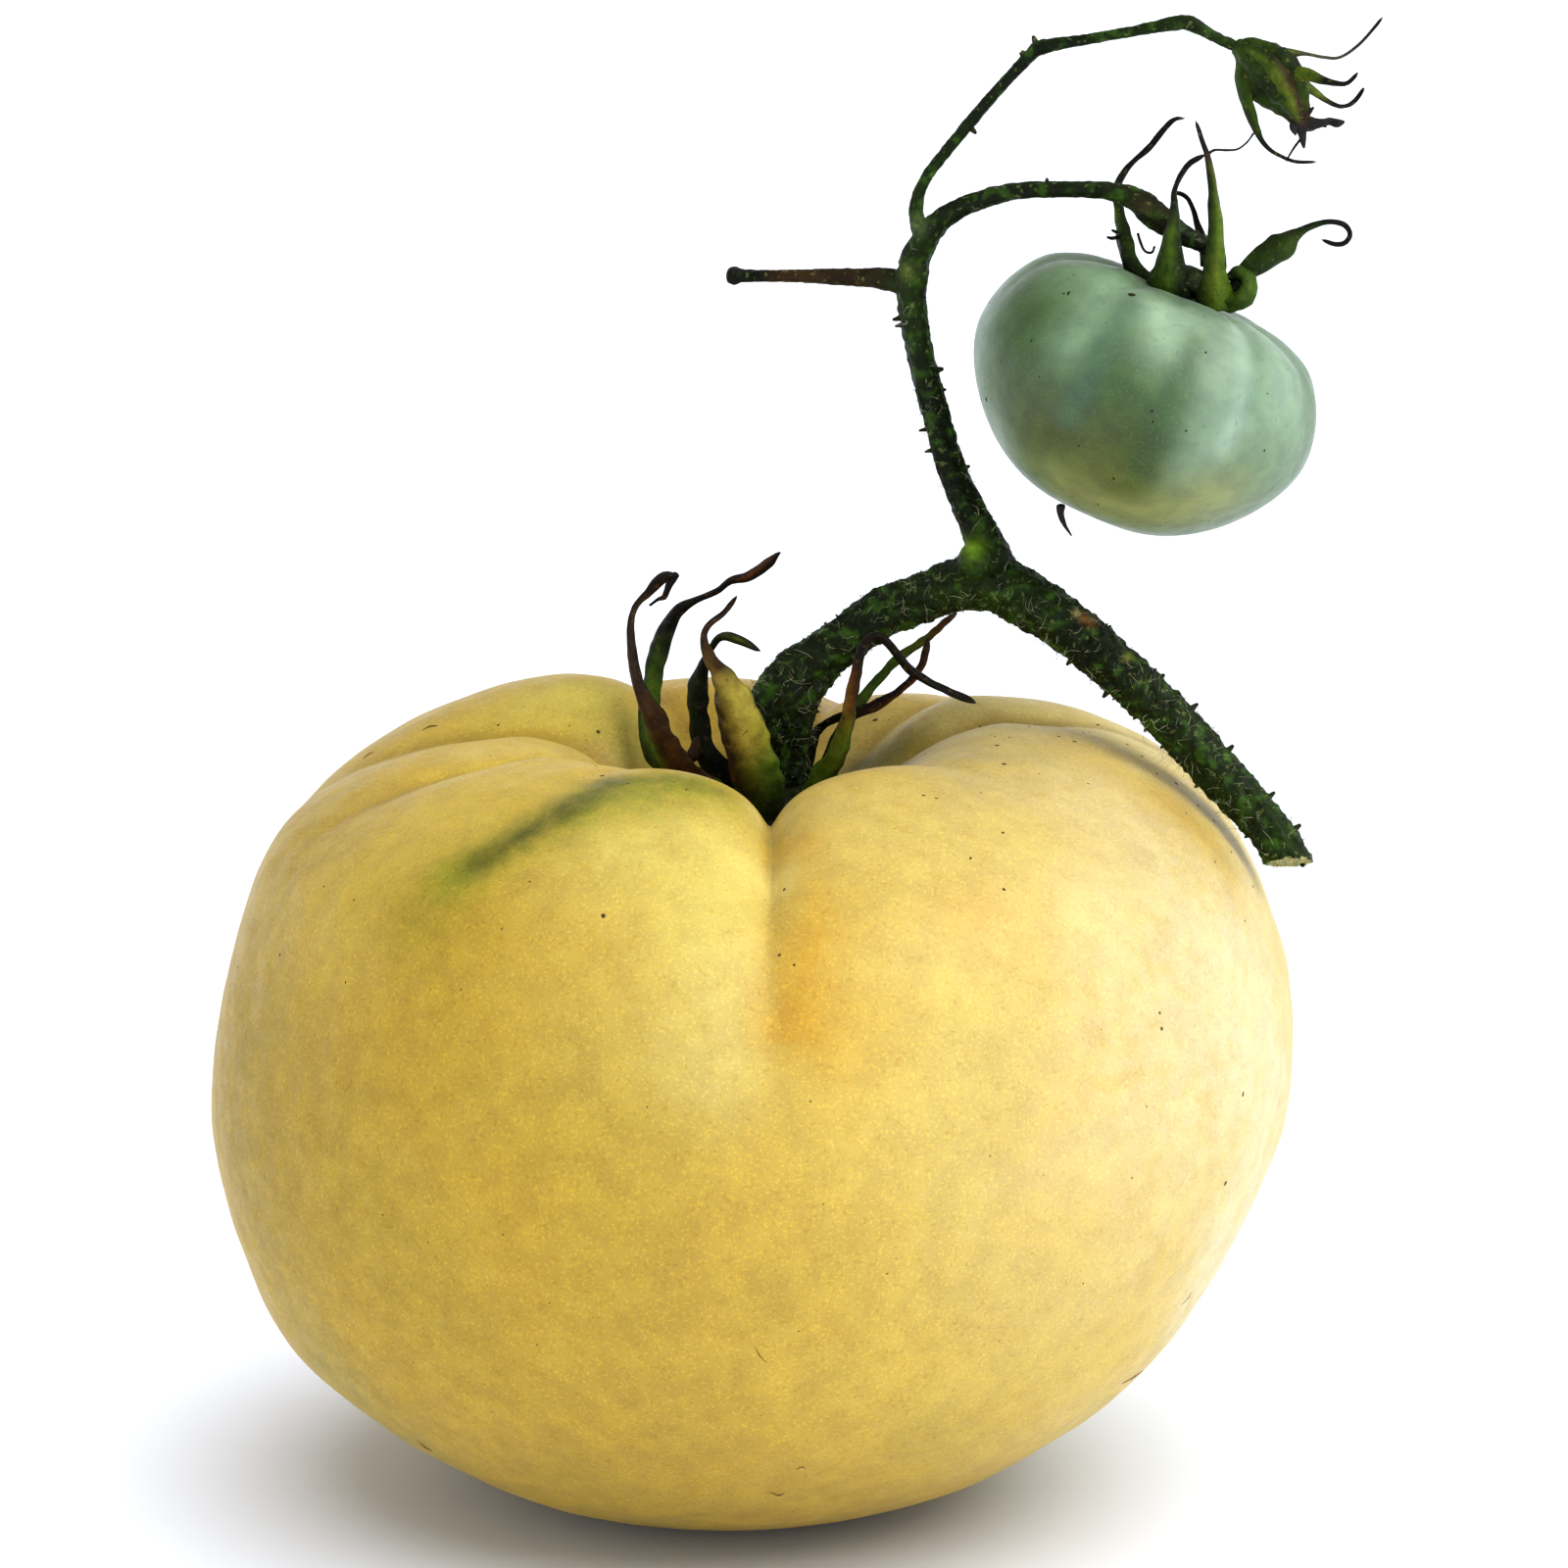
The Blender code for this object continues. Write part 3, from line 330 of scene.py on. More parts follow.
def furrowed(profile, furrows, rings, segments, lean=((0, 0), (1, 0)), depth_ratio=1, rises=()):
    """Rings of points of a fruit: a turned profile, pressed in along each furrow."""
    line = smooth(profile, rings, 2)
    radius = np.maximum(line[:, 0], 0)
    height = line[:, 1]
    slope = np.gradient(line, axis=0)
    out = np.column_stack([-slope[:, 1], slope[:, 0]])
    out /= np.linalg.norm(out, axis=1)[:, None]
    arc = np.concatenate([[0], np.cumsum(np.linalg.norm(np.diff(line, axis=0), axis=1))])
    arc -= arc[np.argmax(height)]
    seat_radius = profile[1][0]
    seat_fade = np.clip((radius - seat_radius) / profile[2][0], 0, 1)
    azimuth = np.linspace(0, 2 * math.pi, segments, endpoint=False)
    pressed = np.zeros((rings, segments))
    for towards, depth, width, reach in furrows:
        turn = turned_from(azimuth, towards)
        down = np.clip(arc / reach, 0, 1)
        fade = depth * (1 - down**2 * (3 - 2 * down)) * seat_fade
        across = radius[:, None] * np.abs(turn) / (width * (1 + FURROW_GROWTH * down))[:, None]
        pressed += fade[:, None] * np.exp(-np.sqrt(across**2 + FURROW_ROUNDNESS))
    ring_radius = radius[:, None] - out[:, 0:1] * pressed
    ring_height = height[:, None] - out[:, 1:2] * pressed
    middle = np.interp(height, *zip(*lean))
    x = middle[:, None] + ring_radius * np.sin(azimuth)
    y = -ring_radius * np.cos(azimuth) * depth_ratio
    lift = np.zeros(segments)
    for towards, rise in rises:
        lift += rise * np.exp(-(np.degrees(turned_from(azimuth, towards)) / RISE_SPREAD)**2)
    share = np.clip((ring_height - RISE_FOOT) / (height.max() - RISE_FOOT), 0, 1) * seat_fade[:, None]
    return np.dstack([x, y, ring_height + lift * share])


def skin_of(rings):
    """Points and faces of a closed skin over rings of points. The first and last ring are one point each."""
    inner = rings[1:-1]
    count, segments = inner.shape[:2]
    points = np.vstack([rings[0, :1], inner.reshape(-1, 3), rings[-1, :1]])
    last = len(points) - 1

    def at(ring, segment):
        return 1 + ring * segments + segment % segments

    faces = [(0, at(0, s), at(0, s + 1)) for s in range(segments)]
    for ring in range(count - 1):
        for s in range(segments):
            faces.append((at(ring, s), at(ring + 1, s), at(ring + 1, s + 1), at(ring, s + 1)))
    faces += [(last, at(count - 1, s + 1), at(count - 1, s)) for s in range(segments)]
    return points, faces


def frames(points):
    """The tangent at each point, and a side direction that turns as little as possible along the way."""
    points = [Vector(p) for p in points]
    ends = [points[0], *points, points[-1]]
    tangents = [(after - before).normalized() for before, after in zip(ends, ends[2:])]
    side = tangents[0].orthogonal().normalized()
    sides = []
    for tangent in tangents:
        side = (side - tangent * side.dot(tangent)).normalized()
        sides.append(side.copy())
    return tangents, sides


def ringed(rings):
    """Faces of a closed body of equal rings, capped at both ends."""
    count, sides = rings
    faces = [tuple(range(sides))[::-1], tuple(range((count - 1) * sides, count * sides))]
    for ring in range(count - 1):
        low = ring * sides
        for s in range(sides):
            nxt = (s + 1) % sides
            faces.append((low + s, low + nxt, low + sides + nxt, low + sides + s))
    return faces


ROUND_STEPS = (0.35, 0.7, 0.92, 1.0)


def tube(route, sides, spacing, colour, ribs=0, rib_depth=0.0, lumps=0.0, seed=0.0):
    """A round-ended stem along (x, y, z, radius)."""
    count = max(4, round(length_of(route) / spacing) + 1)
    rows = smooth(route, count, 3)
    tangents, across = frames(rows[:, :3])
    turns = np.arange(sides) * 2 * math.pi / sides
    rings = []
    shares = []
    for index, (row, tangent, side) in enumerate(zip(rows, tangents, across)):
        other = np.array(tangent.cross(side))
        side = np.array(side)
        wave = 1 + rib_depth * np.cos(ribs * turns)
        circle = side * np.cos(turns)[:, None] + other * np.sin(turns)[:, None]
        ring = (row[:3], circle * wave[:, None] * row[3], np.array(tangent) * row[3])
        share = index / (count - 1)
        if index == 0:
            for amount in ROUND_STEPS[:-1]:
                lift = math.sqrt(1 - amount**2)
                rings.append(ring[0] - ring[2] * lift * 0.6 + ring[1] * amount)
                shares.append(share)
        rings.append(ring[0] + ring[1])
        shares.append(share)
        if index == count - 1:
            for amount in ROUND_STEPS[-2::-1]:
                lift = math.sqrt(1 - amount**2)
                rings.append(ring[0] + ring[2] * lift * 0.6 + ring[1] * amount)
                shares.append(share)
    points = np.vstack(rings)
    if lumps:
        centre = np.repeat([ring.mean(axis=0) for ring in rings], sides, axis=0)
        points = centre + (points - centre) * (1 + lumps * rough(points, 0.7, seed))[:, None]
    return points, ringed((len(rings), sides)), coloured(np.repeat(shares, sides), colour)


def coloured(shares, text, column=0):
    """Colours at each share, from a colour's name or from stops such as "0 dark, 0.5 leaf green dark".

    Three names are those of the left edge, the middle and the right edge, and the column says which."""
    rows = [part.split() for part in text.split(",")]
    if len(rows) == 1:
        return np.broadcast_to(PALETTE[text], (len(shares), 3))
    places = [float(row[0]) for row in rows]
    table = np.array([PALETTE[row[1 + column % (len(row) - 1)]] for row in rows])
    return np.column_stack([np.interp(shares, places, part) for part in table.T])


def blended(colours, colour, share):
    share = np.asarray(share)[:, None]
    return colours * (1 - share) + colour * share


LEAF_SPACING = 0.3
LEAF_LEVELS = np.linspace(-1, 1, 13)
LEAF_CUP = 0.18
LEAF_NARROWING = 0.12
LEAF_CRUMPLE = 0.16


def leaf(towards, route, colour, seed, twist=25.0, ruffle=0.16, roll=0.3):
    """A sepal along (x, y, z, width) whose outer face looks to an azimuth, drying and curling to its tip."""
    count = max(16, round(length_of(route) / LEAF_SPACING) + 1)
    rows = smooth(route, count, 3)
    tangents, _ = frames(rows[:, :3])
    facing = Vector((math.sin(math.radians(towards)), -math.cos(math.radians(towards)), 0))
    levels = np.concatenate([LEAF_LEVELS, LEAF_LEVELS[-2:0:-1]])
    outer = np.concatenate([np.ones(len(LEAF_LEVELS)), -np.ones(len(LEAF_LEVELS) - 2)])
    points = []
    shares = []
    for index, (row, tangent) in enumerate(zip(rows, tangents)):
        share = index / (count - 1)
        side = tangent.cross(facing).normalized()
        out = side.cross(tangent)
        wander = noise.noise(Vector((seed * 7.7, share * 4.0, 0.0)))
        angle = math.radians(twist) * wander * 3 * step(share, 0.2, 0.9)
        turned_side = np.array(side * math.cos(angle) + out * math.sin(angle))
        turned_out = np.array(out * math.cos(angle) - side * math.sin(angle))
        narrow = 1 - LEAF_NARROWING * step(share, 0.55, 1.0)
        point = math.sqrt(max(0.02, 1 - max(0.0, (share - 0.94) / 0.06)**2))
        half = row[3] / 2 * narrow * point
        wave = [1 + 0.14 * noise.noise(Vector((seed * 3.1 + edge * 5, row[0] * 0.9, row[2] * 0.9)))
                for edge in (-1, 1)]
        widths = half * np.where(levels < 0, wave[0], wave[1])
        cup = LEAF_CUP + roll * step(share, 0.3, 0.75)
        level = cup * 2 * half * (1 - levels**2)
        lift = [noise.noise(Vector((seed * 4.3 + edge * 9, row[0] * 0.8, row[2] * 0.8))) for edge in (-1, 1)]
        level = level + ruffle * 2 * half * levels**2 * np.where(levels < 0, lift[0], lift[1])
        thick = (0.07 + 0.16 * np.sqrt(1 - levels**2)) * min(1.0, 0.45 + half * 0.7)
        thick = thick + 0.07 * np.exp(-(levels / 0.16)**2) * (outer > 0) * min(1.0, half)
        level = level + outer * thick
        place = np.array(row[:3]) + turned_side * (levels * widths)[:, None]
        crumple = LEAF_CRUMPLE * (0.35 + step(share, 0.2, 0.6)) * min(1.0, half * 1.2)
        crease = crumple * rough(place, 0.75, seed)
        points.append(place + turned_out * (level + crease)[:, None])
        shares.append(np.full(len(levels), share))
    points = np.vstack(points)
    shares = np.concatenate(shares)
    levels = np.tile(levels, count)
    left, middle, right = (coloured(shares, colour, column) for column in range(3))
    edge = np.clip(1.35 * np.abs(levels)**1.1 * (1 + 0.5 * rough(points, 0.8, seed + 3)), 0, 1)
    colours = blended(middle, np.where(levels[:, None] < 0, left, right), edge)
    return points, ringed((count, len(outer))), colours


# Pieces of the scene

def object_of(name, points, faces, scale=MM):
    mesh = bpy.data.meshes.new(name)
    mesh.from_pydata((np.asarray(points) * scale).tolist(), [], faces)
    mesh.shade_smooth()
    obj = bpy.data.objects.new(name, mesh)
    bpy.context.scene.collection.objects.link(obj)
    return obj


def tinted(obj, colours):
    """Keeps a colour for each point in the mesh, for its material."""
    layer = obj.data.color_attributes.new("tint", "FLOAT_COLOR", "POINT")
    rows = np.column_stack([np.clip(colours, 0, 1), np.ones(len(colours))])
    layer.data.foreach_set("color", rows.ravel())


def outward(obj):
    shape = bmesh.new()
    shape.from_mesh(obj.data)
    bmesh.ops.recalc_face_normals(shape, faces=shape.faces)
    shape.to_mesh(obj.data)
    shape.free()
    return obj


def piece(name, shape, look, slot, *nodes):
    """A finished piece of the scene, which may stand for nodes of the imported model."""
    points, faces, colours = shape
    obj = outward(object_of(name, points, faces))
    tinted(obj, np.asarray(colours))
    obj.data.materials.append(look)
    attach(obj, "root")
    if nodes:
        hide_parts(*nodes)
    return obj


# Materials

class Look:
    """A material whose nodes are added one call at a time."""

    def __init__(self, name, sockets):
        self.material = bpy.data.materials.new(name)
        self.material.use_nodes = True
        self.tree = self.material.node_tree
        self.shader = self.tree.nodes["Principled BSDF"]
        for socket, value in sockets.items():
            self.fill(self.shader.inputs[socket], value)
        place = self.tree.nodes.new("ShaderNodeTexCoord")
        self.place = place.outputs["Object"]
        tint = self.tree.nodes.new("ShaderNodeAttribute")
        tint.attribute_name = "tint"
        self.tint = tint.outputs["Color"]

    def fill(self, socket, value):
        if isinstance(value, bpy.types.NodeSocket):
            self.tree.links.new(value, socket)
        else:
            socket.default_value = value

    def add(self, kind, sockets, output, **settings):
        """A new node's output, with the node's settings and sockets filled in."""
        node = self.tree.nodes.new("ShaderNode" + kind)
        for name, value in settings.items():
            setattr(node, name, value)
        for socket, value in sockets.items():
            self.fill(node.inputs[socket], value)
        return node.outputs[output]

    def grain(self, size, detail):
        """Noise of a grain size in millimetres, about 0 to 1."""
        return self.add("TexNoise", {"Vector": self.place, "Scale": 1 / (size * MM), "Detail": detail}, 0)

    def spread(self, value, low, high, to_low=0.0, to_high=1.0):
        """The value's range from low to high stretched to another range, with soft ends."""
        sockets = {"Value": value, "From Min": low, "From Max": high, "To Min": to_low, "To Max": to_high}
        return self.add("MapRange", sockets, "Result", interpolation_type="SMOOTHSTEP")

    def mix(self, factor, first, second, blend="MIX"):
        return self.add("Mix", {0: factor, 6: first, 7: second}, 2, data_type="RGBA", blend_type=blend)

    def mottled(self, colour, amount, size, detail, dark, light, low=0.3):
        """The colour under a soft play of a dark and a light shade of a grain size in millimetres."""
        play = self.spread(self.grain(size, detail), low, 1 - low)
        return self.mix(amount, colour, self.mix(play, whole(dark), whole(light)), "SOFT_LIGHT")

    def spotted(self, colour, amount, size, detail, low, high, spot, blend="MIX"):
        """The colour with spots of another, where the grain rises from low to high."""
        spots = self.spread(self.grain(size, detail), low, high)
        share = self.add("Math", {0: spots, 1: amount}, 0, operation="MULTIPLY")
        return self.mix(share, colour, whole(spot), blend)

    def finish(self, colour, roughness, *bumps):
        """Roughness is (grain, detail, low, high), and a bump is (grain, detail, height in millimetres)."""
        size, detail, low, high = roughness
        self.fill(self.shader.inputs["Base Color"], colour)
        self.fill(self.shader.inputs["Roughness"], self.spread(self.grain(size, detail), 0.3, 0.7, low, high))
        sockets = {}
        for size, detail, height in bumps:
            sockets |= {"Height": self.grain(size, detail), "Distance": height * MM, "Strength": 1.0}
            sockets["Normal"] = self.add("Bump", sockets, "Normal")
        self.fill(self.shader.inputs["Normal"], sockets["Normal"])
        return self.material


def whole(colour):
    return (*rgb(*colour), 1.0)


def ripe_look():
    """Waxy, pale yellow skin with a velvety bloom, soft mottling and fine pale dots."""
    look = Look("ripe_skin", {
        "Subsurface Weight": 0.18, "Subsurface Radius": (1.0, 0.65, 0.25), "Subsurface Scale": 2.5 * MM,
        "Specular IOR Level": 0.2, "Sheen Weight": 0.05, "Sheen Roughness": 0.25,
        "Sheen Tint": (1.0, 0.98, 0.86, 1.0)})
    colour = look.mottled(look.tint, 0.1, 14, 3, (150, 132, 60), (255, 190, 90), 0.35)
    colour = look.mottled(colour, 0.22, 2.6, 4, (160, 130, 70), (255, 225, 140))
    colour = look.spotted(colour, 0.5, 0.24, 1, 0.52, 0.72, (255, 240, 190), "SOFT_LIGHT")
    colour = look.spotted(colour, 0.28, 0.4, 2, 0.54, 0.72, (90, 60, 20), "SOFT_LIGHT")
    return look.finish(colour, (1.6, 3, 0.42, 0.54), (0.5, 2, 0.05), (3.5, 2, 0.18))


def unripe_look():
    """Firm blue-green skin with a dull bloom and small dark pits."""
    look = Look("unripe_skin", {
        "Subsurface Weight": 0.12, "Subsurface Radius": (0.6, 1.0, 0.5), "Subsurface Scale": 1.5 * MM,
        "Specular IOR Level": 0.3, "Sheen Weight": 0.3, "Sheen Roughness": 0.25,
        "Sheen Tint": (0.9, 1.0, 1.0, 1.0)})
    colour = look.mottled(look.tint, 0.3, 1.8, 4, (90, 118, 92), (190, 215, 160))
    colour = look.spotted(colour, 0.08, 0.2, 1, 0.54, 0.72, (160, 184, 140))
    colour = look.spotted(colour, 0.3, 0.55, 2, 0.64, 0.74, (62, 88, 56))
    return look.finish(colour, (1.2, 3, 0.4, 0.52), (0.4, 2, 0.04), (2.5, 2, 0.1))


def plant_look(name, grain, roughness, fleck, amount):
    """Green or drying plant tissue with uneven colour, flecks and dark spots."""
    look = Look(name, {"Specular IOR Level": 0.1})
    colour = look.mottled(look.tint, 0.55, grain * 3, 4, (70, 76, 40), (200, 205, 150))
    colour = look.spotted(colour, amount, grain, 2, 0.6, 0.72, fleck)
    colour = look.spotted(colour, 0.5, grain * 1.7, 2, 0.6, 0.74, (22, 22, 10))
    return look.finish(colour, (grain * 2, 3, roughness, roughness + 0.22), (grain * 0.6, 3, 0.06),
                       (grain * 2.2, 3, 0.16))


def plain_look(name, roughness, grain):
    """A dry or corky surface that takes its colour from its points and varies a little."""
    look = Look(name, {"Specular IOR Level": 0.3})
    colour = look.mottled(look.tint, 0.5, grain, 3, (70, 60, 50), (200, 190, 170))
    return look.finish(colour, (grain * 2, 2, roughness - 0.08, roughness + 0.1), (grain, 2, 0.05))


# Marks that are placed by the photograph's pixels

# The samples of a line of pixels, for each of its pixels
LINE_STEPS = 12


class Surface:
    """A closed surface that marks are placed on."""

    def __init__(self, points, faces):
        self.points = points
        self.tree = BVHTree.FromPolygons([Vector(point) for point in points], faces)

    def under(self, x, y):
        """The place and normal on the surface that the photograph shows at a pixel."""
        through = seen(*from_pixel(x, y), 0)
        place, normal, _, _ = self.tree.ray_cast(EYE, (through - EYE).normalized())
        return place, normal

    def line(self, pixels):
        """Closely spaced points on the surface along a line of pixels."""
        if len(pixels) > 2:
            pixels = smooth(pixels, LINE_STEPS * len(pixels), 2)
        places = [self.under(*pixel)[0] for pixel in pixels]
        return np.array([place for place in places if place])

    def near(self, pixels, radius):
        """How near each point is to a line of pixels: 1 on it, fading over the radius in millimetres."""
        line = self.line(pixels)
        least = np.full(len(self.points), np.inf)
        for place in line:
            least = np.minimum(least, ((self.points - place)**2).sum(axis=1))
        return np.exp(-least / radius**2)


# The ripe fruit

# Narrow creases at the bottom of the furrows: azimuth, depth, half width, reach
RIPE_CREASES = [
    (1.6, 1.6, 0.9, 46), (-76, 0.5, 1.2, 18), (-102, 0.6, 1.2, 20), (102, 0.5, 1.2, 14),
    (166, 0.6, 1.4, 24), (-152, 0.6, 1.4, 24), (135, 0.4, 1.2, 18),
]
# Painted shade that darkens the bottoms of the creases
CREASE_PAINTED_SHADE = rgb(134, 112, 30)
# The heights between which the creases' painted shade sets in, and the middle of the shoulder to the right
CREASE_RISE = (52, 64)
SHOULDER_MIDDLE = 2.4

# Soft dents of the skin: depth, size, seed, pressed towards the fruit's middle
RIPE_DENTS = [(0.32, 13, 1), (0.1, 4.5, 2)]
RIPE_MIDDLE = np.array([1.0, 0.0, 34.0])
# The height over which the dents fade out towards the resting spot
DENTS_FOOT = (0.3, 5)
# The fruit is a little flatter beneath the end of the cut stem
STEM_HOLLOW = (42, 2, 57)
STEM_HOLLOW_SIZE = 9
STEM_HOLLOW_DEPTH = 0.55

RIPE_BASE = rgb(186, 160, 64)
# Some patches are the skin's own marks and tints; others paint highlights and shade, as marked below
# Each patch painted over the skin's colour: the pixels of its line, its radius, its colour, how much of it
RIPE_TINTS_AND_PAINTED_LIGHT = [
    # Painted highlight on the lit right front
    ([(900, 900), (1010, 960), (1010, 1080)], 15, (200, 184, 116), 0.75),
    ([(620, 930), (600, 1000)], 10, (198, 178, 100), 0.6),
    ([(1060, 830), (1090, 920)], 8, (204, 188, 130), 0.6),
    ([(800, 1260), (845, 1400), (880, 1480)], 11, (196, 174, 88), 0.6),
    # Painted shade on the left side, away from the light
    ([(330, 1000), (260, 1150), (330, 1320)], 18, (158, 134, 36), 0.75),
    ([(242, 1040), (228, 1120), (250, 1220)], 7, (152, 130, 14), 0.6),
    ([(365, 900), (450, 835), (540, 775)], 9, (206, 182, 84), 0.65),
    ([(450, 1060), (520, 1250)], 14, (178, 148, 42), 0.5),
    # Painted highlights on the lit right side
    ([(1150, 880), (1190, 1050), (1140, 1200)], 13, (204, 190, 150), 0.85),
    ([(1270, 1000), (1290, 1150), (1240, 1300)], 9, (206, 198, 166), 0.85),
    ([(900, 860), (1050, 860)], 8, (204, 184, 106), 0.7),
    # Painted highlight on the left lobe, where it faces the light beside the front groove
    ([(772, 900), (760, 980), (738, 1070)], 5.5, (208, 194, 126), 0.75),
    ([(980, 1020), (930, 1110)], 7, (204, 184, 110), 0.7),
    ([(1100, 1300), (1050, 1400)], 9, (198, 178, 106), 0.6),
    ([(560, 1500), (760, 1530), (960, 1500)], 12, (164, 138, 50), 0.6),
    ([(740, 1330), (700, 1420)], 12, (172, 144, 58), 0.6),
    ([(340, 1400), (420, 1470)], 5, (152, 142, 76), 0.6),
    # The skin's orange blush right of the front groove, darkened with painted shade of the groove's right
    # wall
    ([(840, 940), (860, 1060)], 6, (194, 160, 62), 0.45),
    ([(806, 870), (813, 950), (808, 1040)], 3.2, (188, 142, 30), 0.75),
    ([(1050, 950), (1000, 935)], 4, (206, 168, 84), 0.4),
    # Painted highlight on the left lobe beside the top of the front groove
    ([(680, 860), (730, 900)], 7, (206, 194, 108), 0.8),
    ([(640, 818), (720, 812), (765, 830)], 3.4, (152, 150, 48), 0.65),
    ([(425, 950), (455, 908)], 3.4, (146, 136, 40), 0.55),
    ([(468, 893), (515, 866), (570, 834), (625, 806), (690, 798)], 3, (134, 140, 32), 0.85),
    ([(492, 877), (522, 860), (575, 827), (618, 801)], 1.9, (82, 86, 2), 0.72),
    ([(496, 876), (532, 854), (580, 826)], 1.2, (66, 68, 0), 0.45),
    ([(630, 797), (690, 796), (735, 808)], 1.7, (100, 106, 22), 0.5),
    # Painted highlight along the crest of the left front shoulder
    ([(470, 770), (571, 766), (625, 781)], 1.8, (206, 188, 116), 0.5),
    ([(655, 755), (630, 740)], 4, (134, 138, 56), 0.65),
    # Painted shade in the furrow right of the calyx
    ([(880, 778), (903, 769), (924, 758)], 2, (52, 52, 4), 0.9),
    # Painted highlight on the lit left wall of the front groove, below its notch
    ([(784, 850), (786, 905)], 2.4, (226, 208, 134), 0.75),
    ([(1090, 760), (1160, 790), (1230, 850)], 3, (192, 160, 50), 0.4),
    # Painted highlight on the lit right shoulder
    ([(1114, 820), (1114, 910)], 4, (216, 200, 148), 0.55),
    ([(1100, 1440), (1090, 1500)], 6, (202, 184, 128), 0.5),
    ([(1040, 1140), (1060, 1250)], 7, (188, 162, 80), 0.35),
    ([(560, 715), (600, 712)], 5, (196, 184, 92), 0.7),
    # Painted shade in the furrow right of the calyx
    ([(930, 755), (905, 768)], 3.4, (146, 134, 46), 0.6),
    ([(1110, 745), (1180, 795)], 4, (206, 186, 112), 0.5),
    ([(1000, 738), (1080, 742), (1150, 775)], 1.6, (160, 136, 60), 0.4),
    ([(1190, 812), (1236, 866), (1268, 930)], 2.2, (170, 138, 56), 0.35),
    ([(1000, 1485), (1110, 1425)], 6, (198, 176, 96), 0.5),
]
# Painted highlight of the lit right side, carried on round to the back: azimuth, spread, colour, how much of
# it
PAINTED_LIT_SIDE = (104, 38, rgb(202, 190, 134), 0.7)
# The basin's green: the distances from the calyx's seat between which it fades, and how much of it
BASIN_REACH = (7, 14)
BASIN_AMOUNT = 0.7
BASIN_GREEN = rgb(92, 94, 16)


def ripe_shape():
    rings = furrowed(RIPE_PROFILE, RIPE_FURROWS + RIPE_CREASES, RIPE_RINGS, RIPE_SEGMENTS, RIPE_LEAN,
                     RIPE_DEPTH_RATIO, RIPE_RISES)
    foot = np.broadcast_to(rings[-1].mean(axis=0), rings[-1:].shape)
    points, faces = skin_of(np.concatenate([rings, foot]))
    free = step(points[:, 2], *DENTS_FOOT)
    outwards = points - RIPE_MIDDLE
    outwards /= np.linalg.norm(outwards, axis=1)[:, None]
    dents = sum(depth * rough(points, size, seed) for depth, size, seed in RIPE_DENTS)
    away = np.linalg.norm(points - STEM_HOLLOW, axis=1)
    dents -= STEM_HOLLOW_DEPTH * np.exp(-(away / STEM_HOLLOW_SIZE)**2)
    points = points + outwards * (dents * free)[:, None]
    surface = Surface(points, faces)
    azimuth = np.arctan2(points[:, 0] - SHOULDER_MIDDLE, -points[:, 1])
    # The painted highlight of the lit right side
    towards, spread, colour, amount = PAINTED_LIT_SIDE
    turn = np.degrees(turned_from(azimuth, towards))
    colours = blended(np.broadcast_to(RIPE_BASE, points.shape), colour, amount * np.exp(-(turn / spread)**2))
    blur = 1 + 0.55 * rough(points, 1.2, 9) + 0.3 * rough(points, 5, 10)
    # The patches, with their painted highlights and painted shade
    for pixels, radius, colour, amount in RIPE_TINTS_AND_PAINTED_LIGHT:
        share = amount * np.clip(surface.near(pixels, radius) * blur, 0, 1)
        colours = blended(colours, rgb(*colour), share)
    # Painted shade in each crease near the shoulder
    for towards, depth, width, _ in RIPE_CREASES:
        turn = np.abs(turned_from(azimuth, towards)) * np.linalg.norm(points[:, :2], axis=1)
        share = np.exp(-(turn / width * 1.4)**2) * step(points[:, 2], *CREASE_RISE) * min(0.55, depth)
        colours = blended(colours, CREASE_PAINTED_SHADE, share)
    away = np.linalg.norm(points[:, :2] - RIPE_SEAT[:2], axis=1)
    uneven = 1 + 0.5 * rough(points, 8, 3)
    share = (1 - step(away * uneven, *BASIN_REACH)) * (points[:, 2] > RISE_FOOT) * BASIN_AMOUNT
    return (points, faces, blended(colours, BASIN_GREEN, share)), surface


# The unripe fruit

GREEN_BASE = rgb(86, 108, 76)
# The stripes in the furrows: colour, half width, and the heights between which they set in
GREEN_STRIPE = rgb(62, 86, 54)
GREEN_STRIPE_WIDTH = 1.1
GREEN_STRIPE_RISE = (-8, 6)
